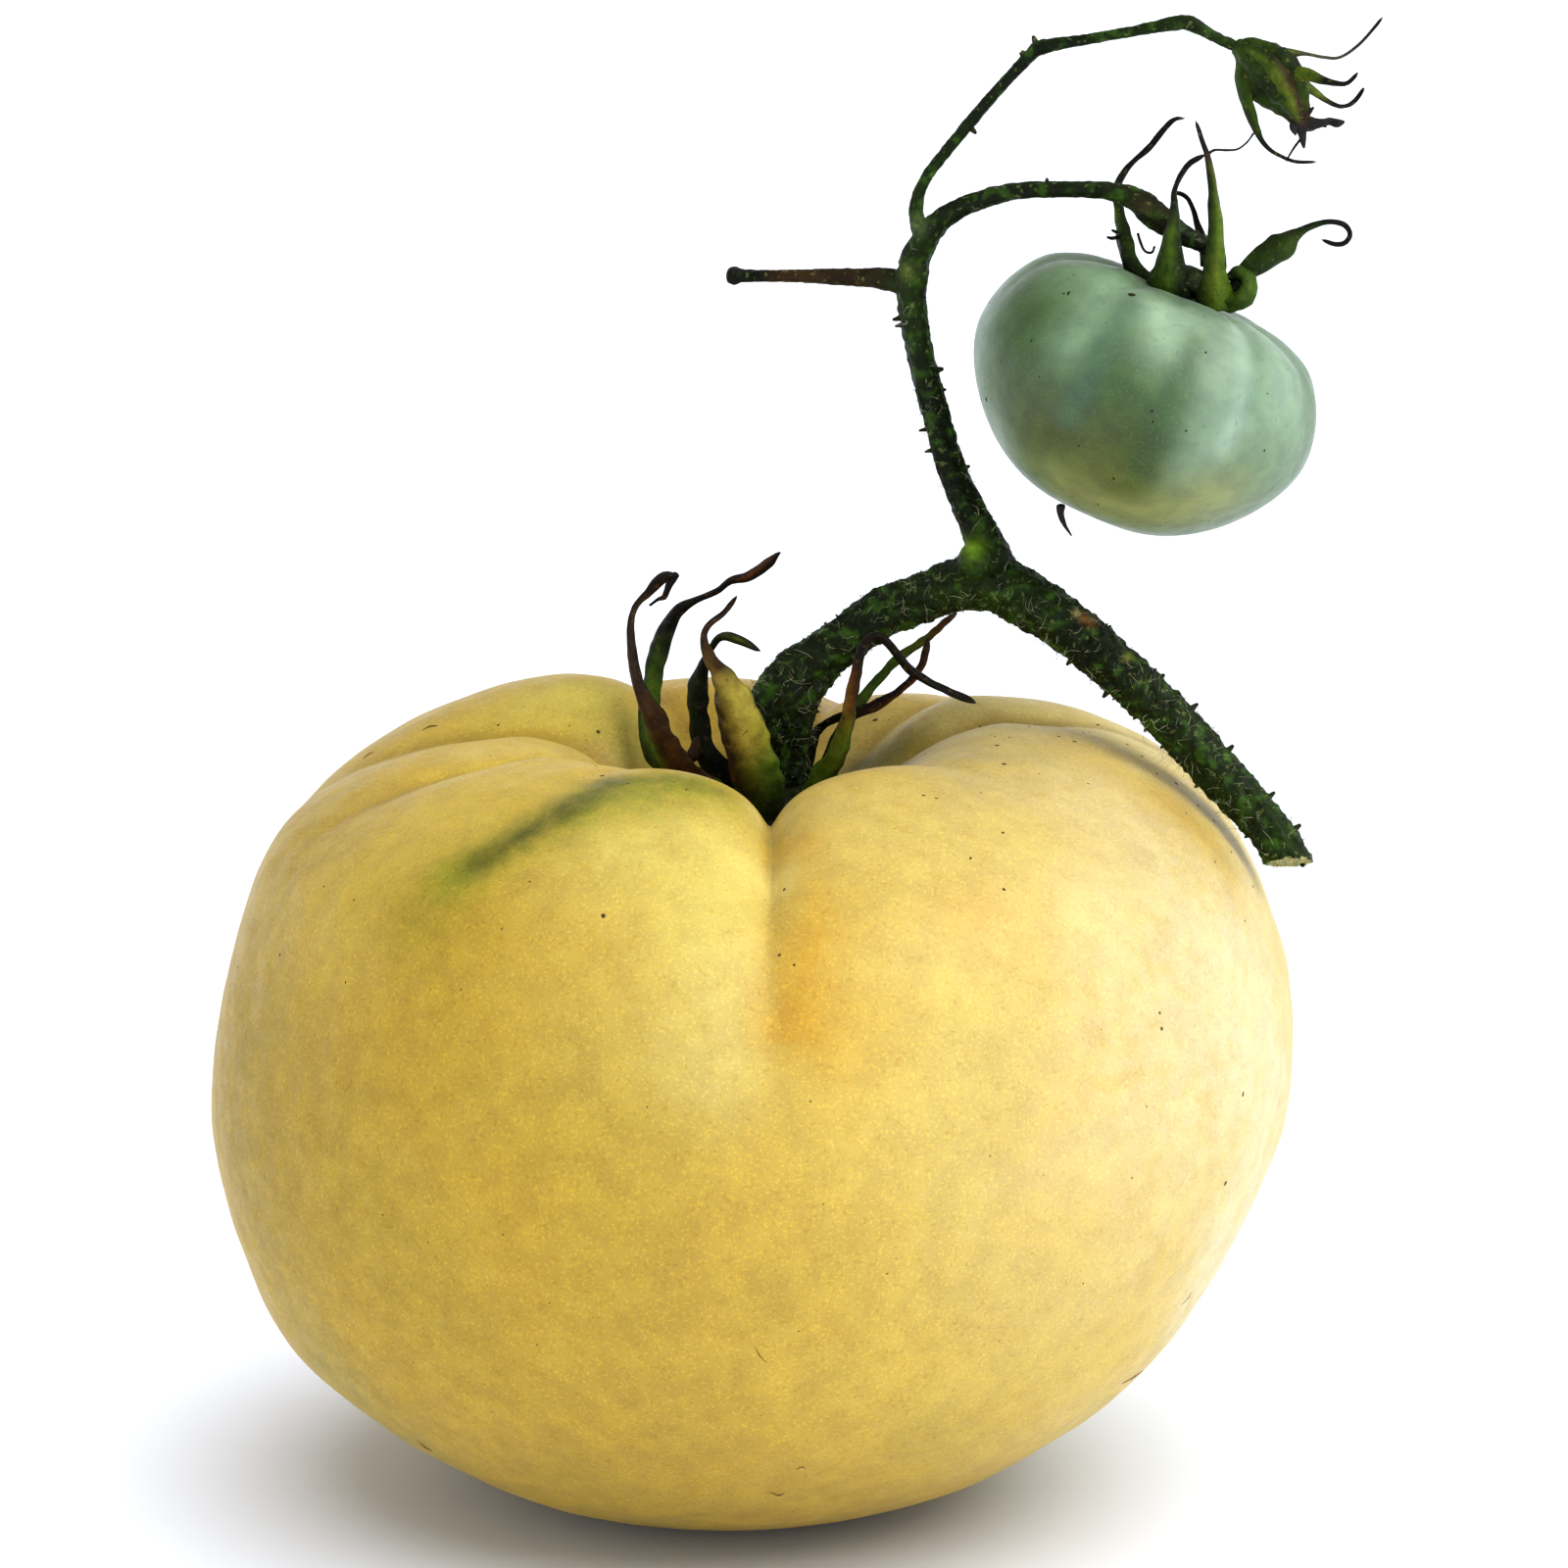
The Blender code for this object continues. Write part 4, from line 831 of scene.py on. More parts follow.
# Patches over the skin: some its own greens, some painted highlights and sheen as marked. Each: pixels of a
# line, radius, colour, amount
GREEN_TINTS_AND_PAINTED_LIGHT = [
    ([(1150, 435), (1128, 400), (1150, 470)], 6, (56, 80, 34), 0.75),
    ([(1045, 325), (1026, 370), (1036, 430)], 3.4, (58, 82, 34), 0.8),
    ([(1075, 385), (1090, 430)], 5, (60, 84, 30), 0.5),
    # Painted pale sheen along the left rim
    ([(1012, 300), (998, 345), (998, 400), (1018, 445)], 2.8, (158, 174, 162), 0.85),
    ([(1090, 280), (1040, 275)], 2.2, (112, 140, 108), 0.6),
    # Painted highlights on the lit lobes beside the first and second stripes
    ([(1134, 290), (1122, 316), (1094, 352)], 2.5, (130, 158, 128), 0.85),
    ([(1186, 322), (1206, 332), (1196, 350)], 2.7, (164, 190, 164), 0.85),
    ([(1168, 362), (1188, 384)], 2.4, (92, 118, 76), 0.25),
    # Painted highlights on the lit right side
    ([(1248, 345), (1240, 430), (1222, 475)], 3, (130, 152, 130), 0.8),
    ([(1296, 350), (1308, 400), (1308, 440)], 4.2, (144, 166, 146), 0.9),
    ([(1300, 470), (1268, 500)], 3.6, (106, 128, 98), 0.8),
    ([(1085, 492), (1130, 513), (1190, 522), (1235, 510)], 3.4, (144, 146, 94), 0.8),
    ([(1062, 430), (1098, 452), (1132, 462)], 3.4, (74, 80, 38), 0.75),
    ([(1168, 452), (1156, 474), (1146, 496)], 1.9, (56, 72, 8), 0.85),
    ([(1136, 488), (1110, 478)], 2.4, (104, 108, 60), 0.5),
    ([(1152, 312), (1130, 347), (1106, 394), (1088, 424)], 1.3, (74, 102, 82), 0.65),
    ([(1218, 352), (1206, 385), (1186, 430), (1164, 478)], 1.4, (52, 80, 42), 0.65),
    ([(1264, 340), (1270, 390), (1262, 430), (1248, 455)], 1.2, (160, 180, 164), 0.6),
    ([(1279, 345), (1285, 378), (1276, 415)], 1, (98, 126, 104), 0.5),
]


def green_frame():
    """Turns the unripe fruit's own frame into the object's."""
    toward = math.radians(GREEN_TILT_TOWARD)
    right = math.radians(GREEN_TILT_RIGHT)
    up = TOWARD * math.sin(toward) + (UP * math.cos(right) + RIGHT * math.sin(right)) * math.cos(toward)
    side = (RIGHT - up * RIGHT.dot(up)).normalized()
    turned = Matrix((side, up.cross(side), up)).transposed().to_4x4()
    return Matrix.Translation(seen(*GREEN_CENTRE)) @ turned


def green_shape():
    rings = furrowed(GREEN_PROFILE, GREEN_FURROWS, GREEN_RINGS, GREEN_SEGMENTS)
    own, faces = skin_of(rings)
    place = np.array(green_frame())
    points = own @ place[:3, :3].T + place[:3, 3]
    surface = Surface(points, faces)
    colours = np.broadcast_to(GREEN_BASE, points.shape)
    azimuth = np.arctan2(own[:, 0], -own[:, 1])
    for towards, _, _, _ in GREEN_FURROWS:
        turn = np.abs(turned_from(azimuth, towards)) * np.linalg.norm(own[:, :2], axis=1)
        share = np.exp(-(turn / GREEN_STRIPE_WIDTH)**2) * step(own[:, 2], *GREEN_STRIPE_RISE) * 0.35
        colours = blended(colours, GREEN_STRIPE, share)
    # The patches, with their painted highlights and painted sheen
    for pixels, radius, colour, amount in GREEN_TINTS_AND_PAINTED_LIGHT:
        colours = blended(colours, rgb(*colour), surface.near(pixels, radius) * amount)
    return (points, faces, colours), surface


# The stems

STEM_VOXEL = 0.17
RIB_HEIGHT = 0.24
LUMP_HEIGHT = 0.2
GRIT_HEIGHT = 0.16
# The cut: its colour, how far around it the body is cut, and the steps (width, depth) in from its rim
CUT_COLOUR = rgb(176, 172, 120)
CUT_REACH = 9
CUT_STEPS = [(0.16, 0.0), (0.14, -0.1)]
# Each stem: its route, sides, the colours along it, how hairy it is
STEM_ROUTES = {
    "cut": (CUT_STEM, 24, "0 stem, 0.3 moss, 0.9 stem, 1 stem", 1),
    "fruit": (FRUIT_STEM, 24, "0 shade, 0.35 dark, 0.6 moss, 1 stem", 1),
    "rachis": (RACHIS, 20, "0 moss, 0.6 moss, 1 stem", 0.8),
    "stub": (STUB, 14, "0 moss, 0.12 moss, 0.2 brown, 0.75 brown, 0.85 shade, 1 shade", 0.25),
    "green": (GREEN_STEM, 16, "0 stem, 0.3 moss, 0.66 dark, 0.74 earth, 0.85 shade, 1 shade", 0.35),
    "flower": (FLOWER_STEM, 14, "0 stem, 0.5 moss, 1 stem", 0.3),
}
# Colours of single places on the stems: pixel, radius, colour, amount
STEM_SPOTS = [
    ((1000, 566), 1.3, (60, 92, 22), 0.6),
    ((993, 560), 0.8, (136, 172, 48), 0.95),
    ((1106, 631), 0.4, (140, 92, 44), 0.8),
    ((1098, 626), 0.3, (170, 150, 96), 0.7),
    ((1113, 635), 0.4, (130, 80, 34), 0.7),
    ((1150, 671), 0.35, (140, 140, 50), 0.7),
    ((925, 277), 0.7, (110, 120, 60), 0.5),
    ((936, 230), 0.8, (98, 117, 77), 0.6),
    ((915, 290), 0.8, (56, 70, 22), 0.5),
    ((1170, 212), 0.5, (98, 77, 46), 0.5),
    ((1150, 225), 0.6, (123, 133, 94), 0.5),
]


class Track:
    """Close samples along every stem, to find the nearest stem of any point."""

    # The columns of a sample
    PLACE = slice(0, 3)
    RADIUS = 3
    TANGENT = slice(4, 7)
    SHADE = slice(7, 10)
    DOWN = 10
    ORDER = 11
    ALONG = 12
    SPACING = 0.25

    def __init__(self, routes):
        rows = []
        for order, (route, _, colours, down) in enumerate(routes.values()):
            count = max(8, round(length_of(placed(route)) / self.SPACING))
            line = smooth(placed(route), count, 3)
            tangents, _ = frames(line[:, :3])
            shades = coloured(np.linspace(0, 1, count), colours)
            for index in range(count):
                rows.append((*line[index], *tangents[index], *shades[index], down, order,
                             index * self.SPACING))
        self.rows = np.array(rows)
        self.tree = kdtree.KDTree(len(rows))
        for index, row in enumerate(self.rows):
            self.tree.insert(Vector(row[:3]), index)
        self.tree.balance()

    def nearest(self, points):
        """For each point the sample whose surface is the nearest."""
        best = []
        for point in points:
            around = self.tree.find_n(Vector(point), 6)
            best.append(min(around, key=lambda found: found[2] / self.rows[found[1], self.RADIUS])[1])
        return self.rows[best]


def remeshed(points, faces, voxel):
    """One even skin around overlapping closed bodies: its points, faces and edges."""
    draft = object_of("draft", points, faces, 1.0)
    even = draft.modifiers.new("Even", "REMESH")
    even.mode = "VOXEL"
    even.voxel_size = voxel
    bpy.context.view_layer.update()
    mesh = bpy.data.meshes.new_from_object(draft.evaluated_get(bpy.context.evaluated_depsgraph_get()))
    skin = np.array([vertex.co[:] for vertex in mesh.vertices])
    sides = [tuple(face.vertices) for face in mesh.polygons]
    edges = np.array([edge.vertices[:] for edge in mesh.edges])
    bpy.data.objects.remove(draft)
    bpy.data.meshes.remove(mesh)
    return skin, sides, edges


def relaxed(points, edges, rounds):
    """Points smoothed along their edges without shrinking."""
    ends = np.concatenate([edges, edges[:, ::-1]])
    degree = np.bincount(ends[:, 0], minlength=len(points))[:, None]
    for factor in (0.5, -0.52) * rounds:
        around = np.column_stack([np.bincount(ends[:, 0], points[ends[:, 1], axis], len(points))
                                  for axis in range(3)])
        points = points + factor * (around / degree - points)
    return points


def stem_shape(track):
    """The whole truss as one skin with ribs and lumps, and its lower end cut flat."""
    shapes = []
    for route, sides, _, _ in STEM_ROUTES.values():
        rows = placed(route)
        if route is CUT_STEM:
            last = np.array(rows[-1])
            before = np.array(rows[-2])
            longer = last + (last - before)
            rows = [*rows, (*longer[:3], last[3])]
        shapes.append(tube(rows, sides, 0.45, "stem"))
    shapes.append(tube([(*(seen(*NODE_BUD[:3]) + UP * rise), size) for rise, size in
                        ((-1.4, 1.2), (-0.5, 1.45), (0.3, 1.25), (0.9, 0.7))], 20, 0.3, "stem"))
    points, faces, _ = joined(shapes)
    points, faces, edges = remeshed(points, faces, STEM_VOXEL)
    points = relaxed(points, edges, 4)
    near = track.nearest(points)
    out = points - near[:, Track.PLACE]
    tangent = near[:, Track.TANGENT]
    out -= tangent * (out * tangent).sum(axis=1)[:, None]
    out /= np.linalg.norm(out, axis=1)[:, None] + 1e-9
    ribs = np.array([noise.noise(Vector(o) * 2.6 + Vector((0, 0, length * 0.16 + order * 9)))
                     for o, length, order in zip(out, near[:, Track.ALONG], near[:, Track.ORDER])])
    lumps = rough(points, 0.9, 5)
    grit = rough(points, 0.42, 6)
    size = np.clip(near[:, Track.RADIUS] / 2, 0.15, 1)
    relief = RIB_HEIGHT * ribs + LUMP_HEIGHT * lumps + GRIT_HEIGHT * grit
    points = points + out * (relief * size)[:, None]
    return cut_off(points, faces, placed(CUT_STEM)[-1][:3])


def cut_off(points, faces, place):
    """The body without what lies beyond the cut, whose face is a little hollow."""
    shape = bmesh.new()
    corners = [shape.verts.new(point) for point in points]
    for face in faces:
        shape.faces.new([corners[index] for index in face])
    whole_stem = shape.verts[:] + shape.edges[:] + shape.faces[:]
    near_cut = [part for part in whole_stem if in_reach(part, place)]
    found = bmesh.ops.bisect_plane(shape, geom=near_cut, plane_co=place, plane_no=CUT_PLANE, clear_outer=True)
    rim = [part for part in found["geom_cut"] if isinstance(part, bmesh.types.BMEdge)]
    face = bmesh.ops.contextual_create(shape, geom=rim)["faces"]
    for width, depth in CUT_STEPS:
        bmesh.ops.inset_region(shape, faces=face, thickness=width, depth=depth)
    bmesh.ops.poke(shape, faces=face)
    bmesh.ops.recalc_face_normals(shape, faces=shape.faces)
    shape.verts.index_update()
    points = np.array([vertex.co[:] for vertex in shape.verts])
    faces = [tuple(vertex.index for vertex in face.verts) for face in shape.faces]
    shape.free()
    return points, faces


def in_reach(part, place):
    corners = [part] if isinstance(part, bmesh.types.BMVert) else part.verts
    return all((vertex.co - Vector(place)).length < CUT_REACH for vertex in corners)


def stem_colours(points, track):
    near = track.nearest(points)
    colours = blended(near[:, Track.SHADE], PALETTE["moss"], 0.6 * step(rough(points, 1.6, 8), -0.3, 0.5))
    fresh = 0.6 * step(rough(points, 1.1, 12) + 0.5 * rough(points, 0.4, 13), 0.05, 0.6)
    on_stub = near[:, Track.ORDER] == list(STEM_ROUTES).index("stub")
    colours = blended(colours, PALETTE["fresh"], np.where(on_stub, 0, fresh))
    for pixel, radius, colour, amount in STEM_SPOTS:
        right, up = from_pixel(*pixel)
        ray = np.array([*seen(right, up, 0)]) - np.array(EYE)
        ray /= np.linalg.norm(ray)
        away = points - np.array(EYE)
        depth = away @ ray
        beside = np.linalg.norm(away - depth[:, None] * ray, axis=1)
        front = ((points - near[:, Track.PLACE]) @ ray) < 0.2
        share = np.exp(-(beside / radius)**2) * amount * front
        colours = blended(colours, rgb(*colour), share)
    cut = placed(CUT_STEM)[-1]
    plane = np.array(CUT_PLANE.normalized())
    on_cut = np.abs((points - cut[:3]) @ plane) < 0.2
    inner = np.linalg.norm(points - cut[:3], axis=1) < cut[3] * 1.02
    colours[on_cut & inner] = CUT_COLOUR
    return colours


# Hairs and nubs

def hairs(shape, weights, count, length, thickness, seed, colour, lean=0.6):
    """Curved, tapering hairs standing on a body, drawn at random in proportion to each face's weight."""
    points, faces, _ = shape
    draw = np.random.default_rng(seed)
    corners = np.array([face[:3] for face in faces])
    first, second, third = (points[corners[:, column]] for column in range(3))
    normals = np.cross(second - first, third - first)
    area = np.linalg.norm(normals, axis=1)
    chance = area * np.asarray(weights)[corners[:, 0]]
    picks = draw.choice(len(corners), count, p=chance / chance.sum())
    slide = draw.random((count, 2)) * 0.7
    root = (first[picks] + (second - first)[picks] * slide[:, :1]
            + (third - first)[picks] * slide[:, 1:])
    upright = normals[picks] / area[picks][:, None]
    heading = upright + draw.normal(0, lean * 0.5, (count, 3))
    heading /= np.linalg.norm(heading, axis=1)[:, None]
    turn = draw.normal(0, lean, (count, 3))
    reach = draw.uniform(*length, (count, 1))
    reach *= 0.5 + np.asarray(weights)[corners[picks, 0]][:, None] * 0.5
    across = np.cross(heading, draw.normal(0, 1, (count, 3)))
    across /= np.linalg.norm(across, axis=1)[:, None]
    other = np.cross(heading, across)
    middle = root + heading * reach * 0.45
    later = heading + turn * 0.6
    later /= np.linalg.norm(later, axis=1)[:, None]
    knee = middle + later * reach * 0.3
    last = later + turn * 0.8
    last /= np.linalg.norm(last, axis=1)[:, None]
    tip = knee + last * reach * 0.25
    rings = []
    for centre, size in ((root - upright * 0.05, 1.0), (middle, 0.75), (knee, 0.5)):
        for turned in (0, 2 * math.pi / 3, 4 * math.pi / 3):
            rings.append(centre + (across * math.cos(turned) + other * math.sin(turned)) * thickness * size)
    rings.append(tip)
    own = np.stack(rings, axis=1)
    pattern = [(0, 2, 1)]
    for low in (0, 3):
        pattern += [(low, low + 1, low + 4, low + 3), (low + 1, low + 2, low + 5, low + 4),
                    (low + 2, low, low + 3, low + 5)]
    pattern += [(6, 7, 9), (7, 8, 9), (8, 6, 9)]
    spikes = [tuple(index + hair * 10 for index in face) for hair in range(count) for face in pattern]
    shades = np.repeat(PALETTE[colour] * draw.uniform(0.55, 1.3, (count, 1)), 10, axis=0)
    return own.reshape(-1, 3), spikes, shades


def nub(base, tip, size, colour):
    base = np.array(base)
    tip = np.array(tip)
    middle = base * 0.5 + tip * 0.5
    route = [(*base, size), (*middle, size * 0.8), (*tip, size * 0.45)]
    return tube(route, 9, 0.12, colour, lumps=0.3, seed=float(base[0]))


# Nubs that stand out at the stems' outline: pixels of the tip, and the size
EDGE_NUBS = [
    ((1132, 640), 0.3), ((1186, 690), 0.32), ((1221, 719), 0.34), ((1257, 762), 0.3), ((1300, 809), 0.3),
    ((1332, 838), 0.3), ((1089, 678), 0.28), ((1126, 711), 0.28), ((1220, 803), 0.28), ((908, 327), 0.26),
    ((961, 377), 0.3), ((937, 440), 0.2), ((942, 462), 0.2), ((984, 478), 0.22), ((1054, 38), 0.26),
    ((1044, 54), 0.22), ((995, 136), 0.24), ((1068, 186), 0.2), ((1042, 56), 0.2), ((964, 398), 0.2),
    ((914, 333), 0.22),
]
# Nubs scattered over the thick stems
SCATTERED_NUBS = 70
# The down and the longer hairs: how many, the shortest and longest, and the radius at the root
DOWN = (3600, (0.25, 0.8), 0.014)
LONG_HAIRS = (1000, (0.8, 2.2), 0.02)


def nub_shapes(track, stem, draw):
    shapes = []
    spots = np.array([shown_at(row[:3]) for row in track.rows])
    for pixel, size in EDGE_NUBS:
        wanted = np.array(from_pixel(*pixel))
        nearest = np.argmin(np.linalg.norm(spots - wanted, axis=1))
        offset = wanted - spots[nearest]
        centre = Vector(track.rows[nearest, Track.PLACE])
        radius = track.rows[nearest, Track.RADIUS]
        heading = (RIGHT * offset[0] + UP * offset[1]).normalized()
        reach = radius + min(max(np.linalg.norm(offset) - radius, 0.2), 0.5)
        shapes.append(nub(centre + heading * radius * 0.8, centre + heading * reach, size * 1.1,
                          "0 moss, 0.5 earth, 1 shade"))
    places = stem[0][::7]
    rows = [(place, row) for place, row in zip(places, track.nearest(places))
            if row[Track.RADIUS] > 1.6 and row[Track.DOWN] > 0.9]
    for pick in draw.choice(len(rows), SCATTERED_NUBS, replace=False):
        place, row = rows[pick]
        out = place - row[Track.PLACE]
        out /= np.linalg.norm(out)
        height = draw.uniform(0.05, 0.3)
        size = draw.uniform(0.13, 0.26)
        shapes.append(nub(place - out * 0.15, place + out * height, size, "0 moss, 0.6 dark, 1 brown"))
    return shapes


# The sepals

RIPE_SEPAL_COLOURS = {
    "far_left": "0 dark, 0.14 leaf dark purple, 0.24 leaf purple brown, 0.38 green brown purple, "
        "0.5 brown purple brown, 0.66 brown brown black, 0.8 black black brown, 1 black",
    "left": "0 dark, 0.2 dark leaf green, 0.42 leaf green green, 0.55 dark leaf dark, 0.62 black, "
        "0.84 black, 0.9 black rust black, 0.96 black purple black, 1 black",
    # The shaded sepal's near-black colours are painted shade from the stem above it, with its own dark olive
    # near the tip
    "shaded": "0 shade, 0.55 shade dark shade, 0.68 shade, 0.8 black dark black, 0.9 dark olive dark, "
        "1 black",
    "front": "0 shade dark shade, 0.14 dark leaf dark, 0.27 brown olive green, 0.38 brown straw yellow, "
        "0.58 brown straw straw, 0.68 purple tan brown, 0.78 brown, 0.9 black purple black, 1 black",
    "right_front": "0 dark leaf dark, 0.18 green green dark, 0.3 olive lime green, 0.42 tan rust brown, "
        "0.5 rust brown black, 0.56 black, 1 black",
    "right_back": "0 dark, 0.3 dark leaf green, 0.65 green green leaf, 0.82 olive brown brown, "
        "0.92 rust tan brown, 1 brown",
    "right": "0 shade, 0.5 black, 0.8 black rust brown, 1 brown",
}
# The disc's near-black sides are painted shade deep in the basin; its top is the calyx's own dark green
RIPE_DISC_GREEN_AND_SHADE = "0 shade, 0.7 shade, 1 dark"
GREEN_SEPAL_COLOURS = {
    "left": "0 shade dark dark, 0.3 shade dark leaf, 0.42 dark green dark, 0.5 shade, 1 black",
    "middle": "0 dark leaf shade, 0.28 leaf green dark, 0.45 leaf green dark, 0.6 dark, 0.7 black, "
        "1 black",
    "tall": "0 dark green green, 0.2 leaf lime green, 0.5 dark green lime, 0.7 dark olive green, "
        "0.8 black brown brown, 0.86 black, 1 black",
    "right": "0 dark, 0.15 leaf leaf dark, 0.35 dark leaf leaf, 0.5 dark leaf dark, 0.62 shade, 1 black",
    "back": "0 dark, 0.4 shade, 1 black",
}
GREEN_ROLL_COLOURS = "0 dark, 0.25 leaf, 0.6 green, 0.85 leaf, 1 shade"
FLOWER_SEPAL_COLOURS = {
    "top": "0 olive green leaf, 0.2 olive olive leaf, 0.35 grey, 1 shade",
    "upper": "0 olive lime olive, 0.4 olive green olive, 0.6 black, 1 black",
    "side": "0 leaf green leaf, 0.4 leaf lime olive, 0.6 shade, 1 black",
    "lower": "0 dark leaf green, 0.3 green leaf leaf, 0.5 leaf dark dark, 0.6 shade, 1 black",
}
# The ridge of the flower's nearest sepal, which is still closed over the cup: (right, up, back, width)
FLOWER_RIDGE = [
    (43.4, 121.3, -3.9, 0.8), (44.5, 120.8, -4.8, 1.5), (45.9, 119.6, -5.6, 1.8), (46.9, 118, -5.55, 1.7),
    (47.7, 116.3, -5.05, 1.4), (48.1, 115, -4.5, 0.9),
]
FLOWER_RIDGE_COLOURS = (
    "0 leaf, 0.25 dark green leaf, 0.5 brown olive green, 0.75 brown lime leaf, 0.92 brown olive dark, "
    "1 black brown black"
)
FLOWER_CUP_COLOURS = "0 leaf, 0.2 leaf, 0.5 dark, 0.8 leaf, 1 brown"

# Dried threads: (right, up, back, radius) and colour, by the piece they belong to
RIPE_THREADS = [
    ([(-4.9, 76.6, -3.4, 0.34), (-5.5, 75.6, -3.3, 0.3), (-5.9, 74.7, -3.2, 0.26),
     (-6.4, 74.5, -3.2, 0.16), (-7.1, 74, -3.2, 0.12)], "black"),
    ([(-2.9, 62.6, 4, 0.5), (-3.2, 61.6, 3.6, 0.6), (-3.6, 61, 3.2, 0.5)], "brown"),
]
GREEN_THREADS = [
    ([(40.3, 112.3, -4.6, 0.16), (40.9, 112.7, -4.6, 0.12), (42, 112.7, -4.5, 0.1),
     (42.9, 112.8, -4.4, 0.09), (43.7, 113.4, -4.2, 0.09), (44.2, 114.1, -4.1, 0.1)], "shade"),
    ([(34.4, 105.6, 0.6, 0.12), (34.6, 104.9, 0.4, 0.12), (35, 104.1, 0.2, 0.12), (35.6, 104, 0, 0.12),
     (35.8, 104.5, 0, 0.1)], "shade"),
    ([(33, 105.4, -0.9, 0.2), (32.2, 105.2, -1.2, 0.16), (31.8, 105.3, -1.4, 0.1)], "shade"),
    ([(32.6, 105.7, -1.1, 0.14), (32.2, 105.9, -1.3, 0.1)], "shade"),
]
PETAL_THREADS = [
    ([(48.2, 113.6, -3.7, 0.12), (47.6, 112.8, -3.7, 0.1), (47, 111.8, -3.7, 0.08)], "shade"),
]


def calyx(table, colours, root, centre, seed):
    """The sepals of a calyx, each rising from its root inside the disc."""
    shapes = []
    for order, (name, (azimuth, towards, width, rows)) in enumerate(table.items()):
        outwards = Vector((math.sin(math.radians(azimuth)), -math.cos(math.radians(azimuth)), 0))
        start = [centre @ (outwards * radius + Vector((0, 0, height + GAP))) for radius, height in root]
        route = [(*point, width) for point in start] + placed(rows)
        shapes.append(leaf(towards, route, colours[name], seed + order * 1.37))
    return shapes


def disc(rows, centre, sides, colour, seed):
    route = [(*(centre @ Vector((0, 0, height + GAP))), radius) for height, radius in rows]
    return tube(route, sides, 0.2, colour, ribs=5, rib_depth=0.05, lumps=0.08, seed=seed)


def threads(table):
    return [tube(placed(route), 8, 0.22, colour, lumps=0.25, seed=2.0 + order)
            for order, (route, colour) in enumerate(table)]


# Specks and scars of the ripe skin: pixels and radius, then thin lines of pixels and radius
RIPE_SPECKS = [
    ((615, 935), 0.2), ((800, 908), 0.16), ((795, 975), 0.14), ((810, 985), 0.12), ((1185, 1050), 0.17),
    ((1183, 1034), 0.12), ((1268, 1117), 0.2), ((1250, 1208), 0.22), ((610, 747), 0.18), ((893, 735), 0.24),
    ((1017, 761), 0.2), ((1024, 780), 0.24), ((1080, 752), 0.16), ((1096, 757), 0.2), ((1050, 742), 0.12),
    ((942, 812), 0.16), ((955, 815), 0.13), ((1023, 850), 0.14), ((990, 876), 0.13), ((1024, 908), 0.14),
    ((614, 792), 0.2), ((640, 800), 0.14), ((508, 740), 0.13), ((700, 806), 0.14), ((540, 900), 0.1),
    ((1120, 740), 0.2), ((1150, 760), 0.14), ((1165, 772), 0.16), ((1200, 800), 0.2), ((1222, 822), 0.15),
    ((1238, 838), 0.2), ((1180, 790), 0.13), ((1210, 830), 0.12), ((1256, 870), 0.14), ((1240, 880), 0.12),
    ((1278, 905), 0.14), ((1110, 800), 0.1), ((1060, 790), 0.1), ((1000, 742), 0.14), ((1270, 940), 0.12),
    ((330, 905), 0.12), ((285, 975), 0.14), ((352, 1003), 0.1), ((470, 1010), 0.09), ((660, 1130), 0.08),
    ((905, 1300), 0.09), ((1010, 1180), 0.08), ((1105, 1310), 0.09), ((560, 1330), 0.09),
    ((390, 1240), 0.09),
]
RIPE_SCARS = [
    ([(430, 746), (438, 742), (446, 741)], 0.1), ([(1145, 1412), (1155, 1406), (1166, 1399)], 0.1),
    ([(425, 1470), (434, 1477), (441, 1481)], 0.09), ([(812, 1500), (818, 1497), (822, 1499)], 0.07),
    ([(786, 1523), (794, 1526), (800, 1524)], 0.09), ([(770, 1375), (775, 1384), (782, 1391)], 0.05),
    ([(370, 775), (376, 770), (381, 768)], 0.07), ([(1205, 1332), (1211, 1326), (1216, 1318)], 0.06),
]
GREEN_SPECKS = [
    ((1154, 301), 0.36), ((1006, 408), 0.22), ((1090, 299), 0.14), ((1175, 420), 0.12), ((1176, 431), 0.1),
    ((1136, 489), 0.12), ((1052, 348), 0.1), ((1230, 360), 0.1), ((1290, 460), 0.1), ((1100, 455), 0.1),
    ((1085, 300), 0.1), ((1243, 300), 0.1), ((1210, 440), 0.09), ((1120, 515), 0.1), ((1060, 385), 0.08),
]
SPECK_CORNERS = 9


def speck(place, normal, size, seed):
    """A low, uneven corky spot lying on the skin."""
    across = normal.orthogonal().normalized()
    other = normal.cross(across)
    points = [place + normal * min(0.06, size * 0.4)]
    for index in range(SPECK_CORNERS):
        turn = index * 2 * math.pi / SPECK_CORNERS
        reach = size * (1 + 0.45 * noise.noise(Vector((seed * 3.3, math.cos(turn), math.sin(turn)))))
        points.append(place + (across * math.cos(turn) + other * math.sin(turn)) * reach + normal * 0.004)
    points.append(place - normal * 0.08)
    faces = [(0, 1 + index, 1 + (index + 1) % SPECK_CORNERS) for index in range(SPECK_CORNERS)]
    faces += [(1 + SPECK_CORNERS, after, before) for _, before, after in faces]
    return np.array([point[:] for point in points]), faces


